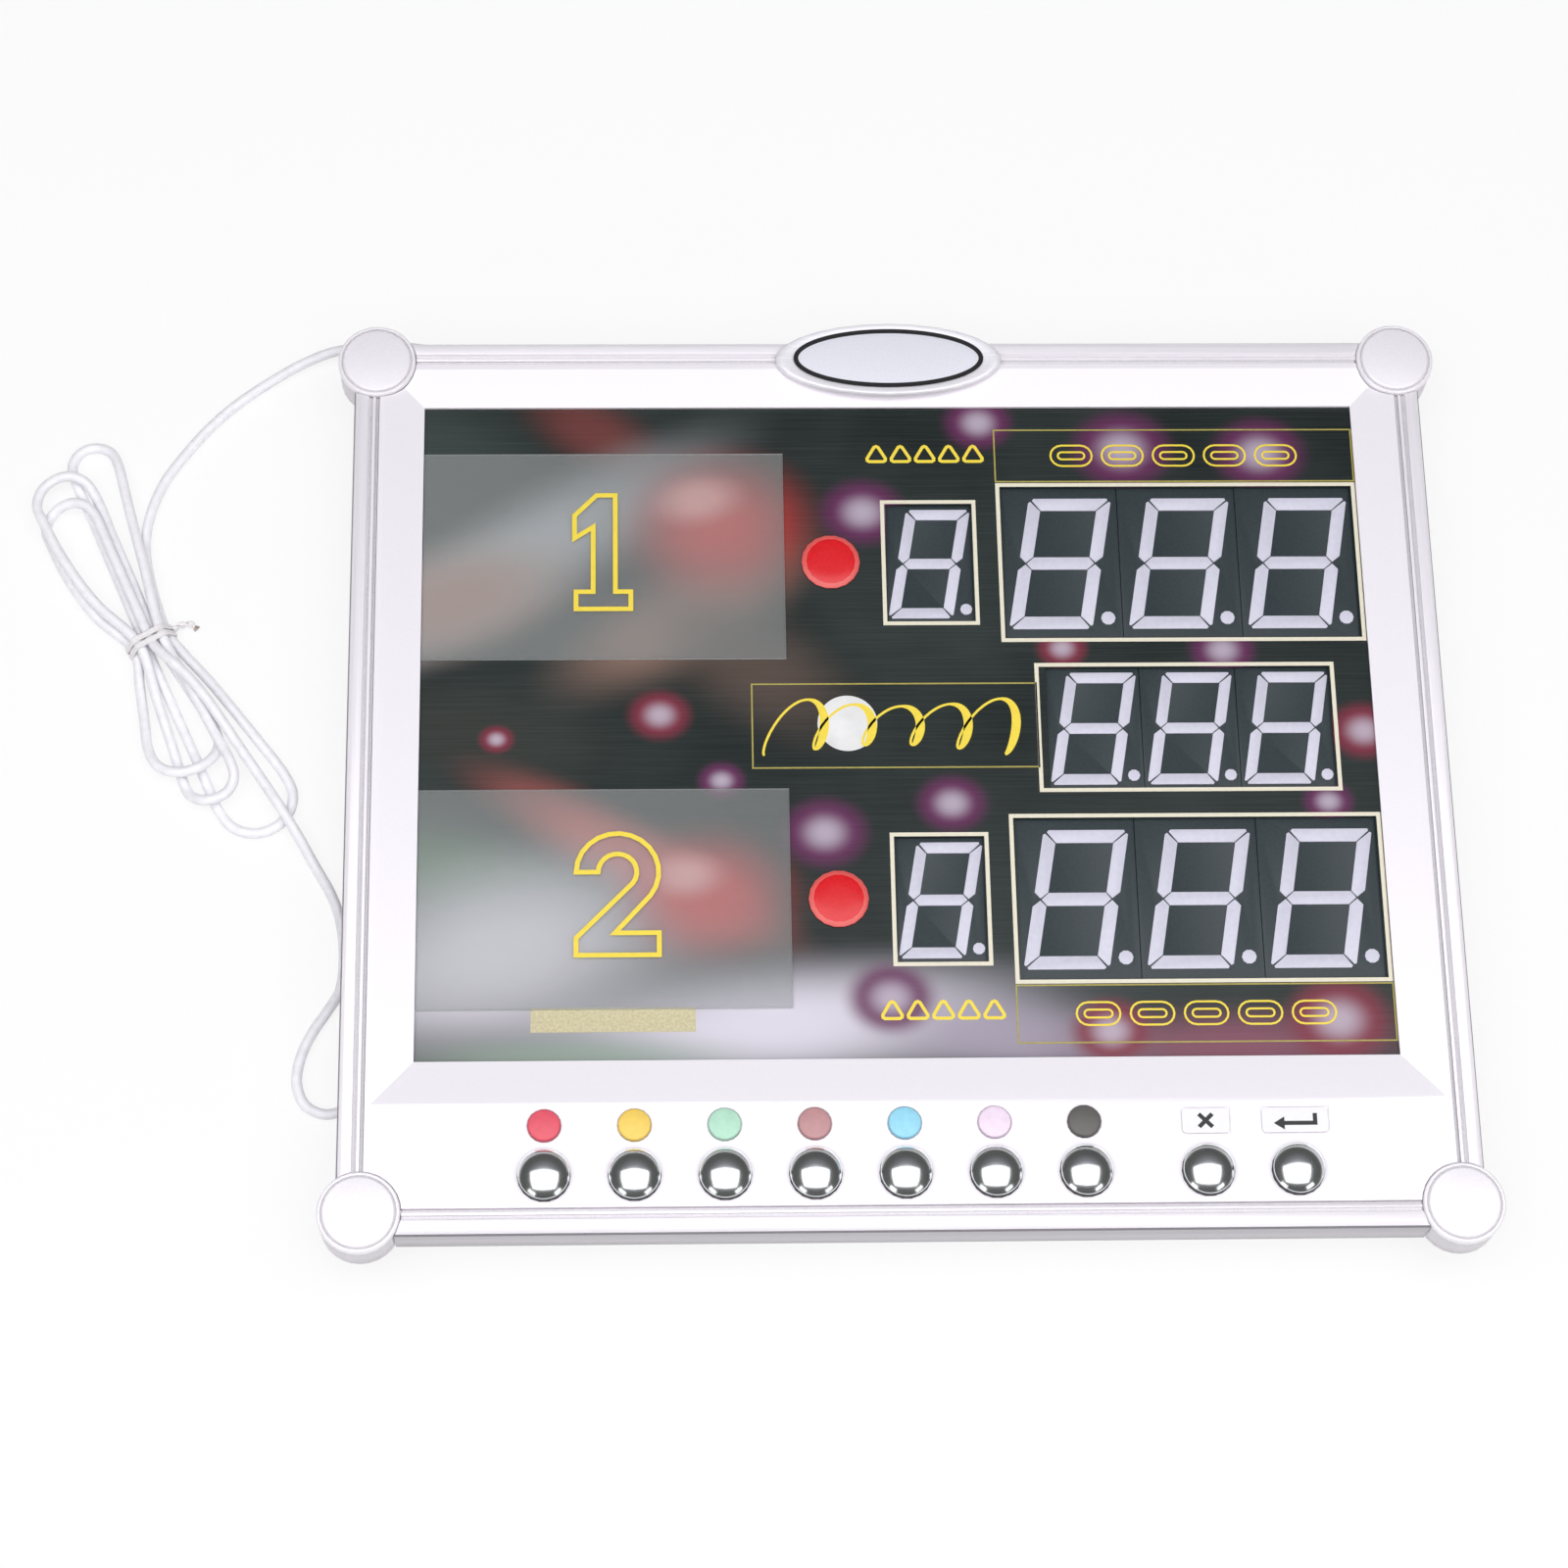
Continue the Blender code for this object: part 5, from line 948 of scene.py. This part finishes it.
HALF_TURNS = [
    # side of the tie, reach, turn in degrees, radius of its end, bow, layers at its twelve points
    (-1, 0.0950, 2.6, 0.0150, 0.001, (0.2, 0.05, 0, 0, 0, 0, 0, 0, 0, 0, 0, 0)),
    (1, 0.0920, 12.0, 0.0092, 0.0, (0.2, 0.04, 0, 0, 0, 0, 0, 0, 0.11, 0.31, 0.62, 0.95)),
    (-1, 0.0748, -7.2, 0.0100, 0.0, (1.07, 0.99, 1.07, 1.31, 1.1, 1.02, 1.06, 0.87, 0.38, 0, 0.04, 0.64)),
    (1, 0.0825, -0.6, 0.0120, -0.004, (1.07, 1, 1.04, 0.99, 0.85, 0.82, 0.89, 1.08, 0.92, 0.4, 0.2, 0.16)),
    (-1, 0.0602, -12.2, 0.0140, 0.0, (0.2, 0, 0, 0, 0.05, 0.77, 1.19, 0.95, 0.55, 0.27, 0.08, 0)),
    (1, 0.0715, -3.6, 0.0105, -0.004, (0.2, 0.05, 0, 0, 0, 0.04, 0.37, 0.8, 1, 1.02, 0.99, 0.99)),
]
SIDE_SHARES = (0.36, 0.72)       # of a half turn's sides, at which its points lie
END_STEPS = 6                    # of its round end
LOW_LAYERS, TIED_LAYERS = 0.2, 1.07
HANK_END = [
    # along and across the hank, layers
    (-0.005, 0.0, 1.39),
    (-0.010, 0.0009, 1.73),
    (-0.015, 0.0023, 1.96),
    (-0.021, 0.0040, 2.01),
    (-0.028, 0.0055, 1.95),
    (-0.036, 0.0066, 1.77),
    (-0.046, 0.0074, 1.49),
    (-0.056, 0.0080, 1.22),
    (-0.068, 0.0087, 1.06),
    (-0.079, 0.0093, 1.0),
    (-0.091, 0.0098, 1.05),
    (-0.104, 0.0101, 0.73),
    (-0.118, 0.0100, 0.0),
]
_, gland_high, gland_middle = extent("cord_gland")
gland_x, gland_z = gland_middle.x, gland_middle.z
case_top = gland_high.y - GLAND_REACH
plug_low, plug_high, plug_middle = extent("dc_plug")


def hank_point(along, across, layers):
    """A point of the hank from its distances along and across it, and its height in layers."""
    cosine, sine = math.cos(HANK_LINE), math.sin(HANK_LINE)
    x = HANK_X + along * cosine + across * sine
    y = HANK_Y + along * sine - across * cosine
    return Vector((x, y, CORD_REST + layers * LAYER))


def half_turn(reach, turn, radius, bow, start, finish):
    """Twelve points of a half turn: a side from the tie, a round end and the side that returns."""
    middle = Vector((math.cos(turn), math.sin(turn))) * (reach - radius)
    way = 1 if start > finish else -1
    ends = []
    for across, side in ((start, way), (finish, -way)):
        to_middle = middle - Vector((0, across))
        heading = math.atan2(to_middle.y, to_middle.x) + side * math.asin(radius / to_middle.length)
        run = math.sqrt(to_middle.length ** 2 - radius ** 2)
        ends.append(Vector((0, across)) + run * Vector((math.cos(heading), math.sin(heading))))
    first, last = ends
    start_point, finish_point = Vector((0, start)), Vector((0, finish))
    side_run = first - start_point
    normal = Vector((-side_run.y, side_run.x)).normalized()
    points = [start_point]
    for share in SIDE_SHARES:
        points.append(start_point + side_run * share + normal * bow * math.sin(math.pi * share))
    first_angle = math.atan2(first.y - middle.y, first.x - middle.x)
    last_angle = math.atan2(last.y - middle.y, last.x - middle.x)
    sweep = (last_angle - first_angle) * -way % (2 * math.pi) * -way
    round_end = arc(middle.x, middle.y, radius, first_angle, first_angle + sweep, END_STEPS)
    points += [Vector(point) for point in round_end]
    return points + [finish_point + (last - finish_point) * share for share in SIDE_SHARES[::-1]]


def smooth_curve(route, parts):
    """A smooth curve through a route's points, with some parts between two of them."""
    ends = [route[0] * 2 - route[1]] + route + [route[-1] * 2 - route[-2]]
    fine = [route[0]]
    for a, b, c, d in zip(ends, ends[1:], ends[2:], ends[3:]):
        near, middle, far = (b - a).length ** 0.5, (c - b).length ** 0.5, (d - c).length ** 0.5
        tangent_b = ((b - a) / near - (c - a) / (near + middle) + (c - b) / middle) * middle
        tangent_c = ((c - b) / middle - (d - b) / (middle + far) + (d - c) / far) * middle
        for i in range(1, parts + 1):
            t = i / parts
            fine.append(
                b * (2 * t ** 3 - 3 * t ** 2 + 1) + tangent_b * (t ** 3 - 2 * t ** 2 + t)
                + c * (3 * t ** 2 - 2 * t ** 3) + tangent_c * (t ** 3 - t ** 2))
    return fine


gland_tip = gland_high.y - case_top
route = [Vector((0, gland_tip - GLAND_HOLD, gland_z)), Vector((0, gland_tip + CORD_DIAMETER, gland_z))]
route += [Vector((x, y, CORD_REST + rise)) for x, y, rise in LEAD_ROUTE]
route += [hank_point(along, across, 0) for along, across in HANK_START]
for i, (side, reach, turn, radius, bow, layers) in enumerate(HALF_TURNS):
    start, finish = STRAND_SLOTS[i] * SLOT, STRAND_SLOTS[i + 1] * SLOT
    flat = half_turn(reach, math.radians(turn), radius, bow, start, finish)
    route += [hank_point(side * point.x, point.y, height) for point, height in zip(flat, layers)]
route.append(hank_point(0, STRAND_SLOTS[-1] * SLOT, TIED_LAYERS))
route += [hank_point(*place) for place in HANK_END]
route += [Vector((x, y, CORD_REST + rise)) for x, y, rise in TAIL_ROUTE]
for y in (plug_low.y - CORD_DIAMETER, plug_low.y + PLUG_SOCKET):
    route.append(Vector((plug_middle.x - gland_x, y - case_top, plug_middle.z)))
origin = Vector((gland_x, case_top, 0))
lead_points = [point + origin for point in smooth_curve(route, CORD_PARTS)]
for point in lead_points:
    point.z = max(point.z, CORD_REST - CORD_SINK)

lead_curve = bpy.data.curves.new("power_lead", "CURVE")
lead_curve.dimensions = "3D"
lead_curve.bevel_depth = CORD_DIAMETER / 2
lead_curve.bevel_resolution = 4
lead_curve.use_fill_caps = True
spline = lead_curve.splines.new("POLY")
spline.points.add(len(lead_points) - 1)
for place, point in zip(spline.points, lead_points):
    place.co = (*point, 1.0)
sleeve = new_finish("pvc_sleeve", SLEEVE_WHITE, 0.36, grain=260.0, gloss=0.06, relief=0.00002)
lead = link_object("power_lead", lead_curve)
lead_curve.materials.append(sleeve)
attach(lead, "housing")
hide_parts("cord_lead", "cord_hank", "cord_tail")


# Tie and plug: a flat plastic covered wire in two turns round the hank, its ends twisted together
# and bent back, and a moulded plug with a ribbed relief and a nickel barrel.
TIE_CREAM = (0.87, 0.84, 0.85)
TIE_WIDTH = 0.0024
TIE_CROWN = 0.7                  # of its width, on the outside
TIE_THICK = 0.0005
TIE_GAP = 0.0005
TIE_STEP = 0.0031
TIE_CORNER_STEPS = 8
EAR_STRAND = 0.0009              # half the width of a twisted strand
EAR_THICK = 0.7                  # of that width
EAR_CORNER = 0.9                 # radians from its middle line to the corners of its section
EAR_SPREAD = 0.0006
EAR_TURNS = 1.5
EAR_STEPS = 10                   # between two points of its route
EAR_ROUTE = [
    # along and across the hank from its outer strand, and height of the twist's middle
    (0.0000, 0.0000, 0.0045),
    (0.0006, 0.0024, 0.0034),
    (0.0008, 0.0052, 0.0022),
    (-0.0006, 0.0077, 0.0016),
    (-0.0034, 0.0086, 0.0016),
]
BARE_END = 0.0017                # of the wire, past its sleeve
WIRE_BROWN = (0.42, 0.36, 0.32)
PLUG_BLACK = (0.030, 0.030, 0.032)
NICKEL = (0.66, 0.64, 0.60)
BARREL_LENGTH = 0.0094

tie_finish = new_finish("tie_sleeve", TIE_CREAM, 0.45, grain=900.0, tint=0.06)
layer_low = CORD_REST + LOW_LAYERS * LAYER
layer_high = CORD_REST + TIED_LAYERS * LAYER
corner_low, corner_high = 3 * SLOT, 2 * SLOT
lean = math.atan2(corner_low - corner_high, layer_high - layer_low)
tie_corners = [
    # across the hank, level, first and last angle of the tie round this strand
    (corner_low, layer_low, -math.pi / 2, lean),
    (corner_high, layer_high, lean, math.pi / 2),
    (-corner_high, layer_high, math.pi / 2, math.pi - lean),
    (-corner_low, layer_low, math.pi - lean, 1.5 * math.pi),
]


def tie_ring(radius, along):
    """One turn round the four strands at the hank's corners."""
    points = []
    for across, level, first, last in tie_corners:
        for out, z in arc(across, level, radius, first, last, TIE_CORNER_STEPS):
            place = origin + hank_point(along, out, 0)
            points.append((place.x, place.y, z))
    return points


bm = bmesh.new()
inner = CORD_DIAMETER / 2 + TIE_GAP
outer = inner + TIE_THICK
half = TIE_WIDTH / 2
sections = ((inner, -half), (outer, -half * TIE_CROWN), (outer, half * TIE_CROWN), (inner, half))
for middle in (-TIE_STEP / 2, TIE_STEP / 2):
    add_rings(bm, [tie_ring(radius, middle + along) for radius, along in sections], closed=True)
ear_foot = corner_low + inner + TIE_THICK / 2
ear_route = []
for along, across, height in EAR_ROUTE:
    point = origin + hank_point(along, ear_foot + across, 0)
    ear_route.append(Vector((point.x, point.y, height)))
ear = smooth_curve(ear_route, EAR_STEPS)
ear_corners = (0.0, EAR_CORNER, math.pi - EAR_CORNER, math.pi, math.pi + EAR_CORNER, -EAR_CORNER)
up = Vector((0, 0, 1))
for phase in (0.0, math.pi):
    rings = []
    for i, middle in enumerate(ear):
        run = ear[min(i + 1, len(ear) - 1)] - ear[max(i - 1, 0)]
        side = Vector((-run.y, run.x, 0)).normalized()
        angle = phase + 2 * math.pi * EAR_TURNS * i / (len(ear) - 1)
        middle = middle + EAR_SPREAD * (side * math.cos(angle) + up * math.sin(angle))
        rings.append([
            middle + EAR_STRAND * (side * math.cos(angle + turn) + EAR_THICK * up * math.sin(angle + turn))
            for turn in ear_corners])
    add_rings(bm, rings)
tie = add_piece("wire_tie", bm, tie_finish, smooth=True)
wire_finish = new_finish("bare_wire", WIRE_BROWN, 0.40, 0.4, grain=900.0, tint=0.1)
mark_faces(tie, wire_finish, lambda face: (face.center - ear[-1]).length < BARE_END)
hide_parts("cord_tie")

plug_finish = new_finish("plug_pvc", PLUG_BLACK, 0.42, grain=800.0, tint=0.15, gloss=0.06)
nickel = new_finish("nickel_barrel", NICKEL, 0.22, 1.0, grain=500.0, tint=0.04, gloss=0.04)
plug = dress("dc_plug", plug_finish, ROUND_EDGE)
mark_faces(plug, nickel, lambda face: face.center.y > plug_high.y - BARREL_LENGTH)


# Stand: the board lies on a white table, seen from its lower edge at about the angle of a reader,
# with a long lens, in soft even light.
SENSOR = 36.0
FOCAL_PIXELS = 4102.6
IMAGE_PIXELS = 1600
CAMERA_PLACE = (-0.09995, -0.58959, 1.49003)
CAMERA_PITCH, CAMERA_ROLL_Y, CAMERA_ROLL_Z = -0.3808, 0.0346, 0.0053
CAMERA_FAR = 20.0
TABLE_WHITE = (0.93, 0.93, 0.94)
TABLE_LIFT = 0.8                 # share of plain white in the table's look
TABLE_LEVEL = -0.0002            # just clear of the case's back
TABLE_REACH = 6.0
SOFT_BOXES = [
    # name, place, point that it faces, width, height, power
    ("overhead", (-0.05, -0.65, 1.6), (-0.05, -0.65, 0.0), 3.2, 2.2, 41.0),
    ("low_left", (-1.5, -1.7, 0.9), (0.0, 0.0, 0.0), 0.9, 0.4, 2.6),
    ("low_right", (1.5, -1.7, 0.9), (0.0, 0.0, 0.0), 0.9, 0.4, 2.6),
]
WHITE = (1.0, 1.0, 1.0)
ROOM = [
    # height on the sky's sphere, grey that the chrome mirrors
    (0.0, (0.085, 0.085, 0.080)),
    (0.55, (0.125, 0.125, 0.122)),
    (0.80, (0.24, 0.24, 0.26)),
    (1.0, (0.60, 0.60, 0.64)),
]
HAZE_TOP, HAZE_CLEAR = 0.04, 0.10    # heights between which the white haze over the table thins out

camera_data = bpy.data.cameras.new("camera")
camera_data.sensor_width = SENSOR
camera_data.sensor_height = SENSOR
camera_data.lens = FOCAL_PIXELS * SENSOR / IMAGE_PIXELS
camera_data.clip_end = CAMERA_FAR
camera = link_object("camera", camera_data)
to_camera = Matrix.Rotation(CAMERA_ROLL_Z, 3, "Z") @ Matrix.Rotation(CAMERA_ROLL_Y, 3, "Y")
to_camera = to_camera @ Matrix.Rotation(CAMERA_PITCH, 3, "X")
camera.matrix_world = Matrix.Translation(CAMERA_PLACE) @ to_camera.transposed().to_4x4()
bpy.context.scene.camera = camera

table_mesh = bpy.data.meshes.new("table")
table_outline = box_corners(-TABLE_REACH, TABLE_REACH, -TABLE_REACH, TABLE_REACH)
table_mesh.from_pydata([(x, y, TABLE_LEVEL) for x, y in table_outline], [], [(0, 1, 2, 3)])
table = link_object("table", table_mesh)
table_finish = new_finish("white_table", TABLE_WHITE, 0.8)
tree = table_finish.node_tree
seen = add_node(tree, "LightPath").outputs
any_view = add_math(tree, "MAXIMUM", seen["Is Camera Ray"], seen["Is Glossy Ray"])
any_view = add_math(tree, "MAXIMUM", any_view, seen["Is Transmission Ray"])
lift = add_math(tree, "MULTIPLY", any_view, TABLE_LIFT)
glow = add_node(tree, "Emission", {"Color": (*WHITE, 1.0), "Strength": 1.0}).outputs["Emission"]
blend = add_node(tree, "MixShader", {"Fac": lift, 1: tree.nodes["Principled BSDF"].outputs["BSDF"], 2: glow})
tree.links.new(blend.outputs["Shader"], tree.nodes["Material Output"].inputs["Surface"])
table_mesh.materials.append(table_finish)

for name, place, target, width, height, power in SOFT_BOXES:
    data = bpy.data.lights.new(name, "AREA")
    data.shape = "RECTANGLE"
    data.size = width
    data.size_y = height
    data.energy = power
    light = link_object(name, data)
    light.location = place
    light.rotation_euler = (Vector(target) - Vector(place)).to_track_quat("-Z", "Y").to_euler()

world = bpy.data.worlds.new("studio")
bpy.context.scene.world = world
world.use_nodes = True
tree = world.node_tree
direction = add_node(tree, "TexCoord").outputs["Generated"]
height = add_node(tree, "SeparateXYZ", {"Vector": direction}).outputs["Z"]
room = add_ramp(tree, height, ROOM)
seen = add_node(tree, "LightPath").outputs
mirrored = add_math(tree, "MAXIMUM", seen["Is Glossy Ray"], seen["Is Transmission Ray"])
haze = add_node(tree, "MapRange", {"Value": height, "From Min": HAZE_CLEAR, "From Max": HAZE_TOP})
hazed = add_math(tree, "MULTIPLY", mirrored, haze.outputs["Result"])
white_share = add_math(tree, "MAXIMUM", seen["Is Camera Ray"], hazed)
background = tree.nodes["Background"].inputs
tree.links.new(mix_colours(tree, room, white_share, WHITE), background["Color"])
background["Strength"].default_value = 1.0

bpy.context.scene.view_settings.view_transform = "Standard"
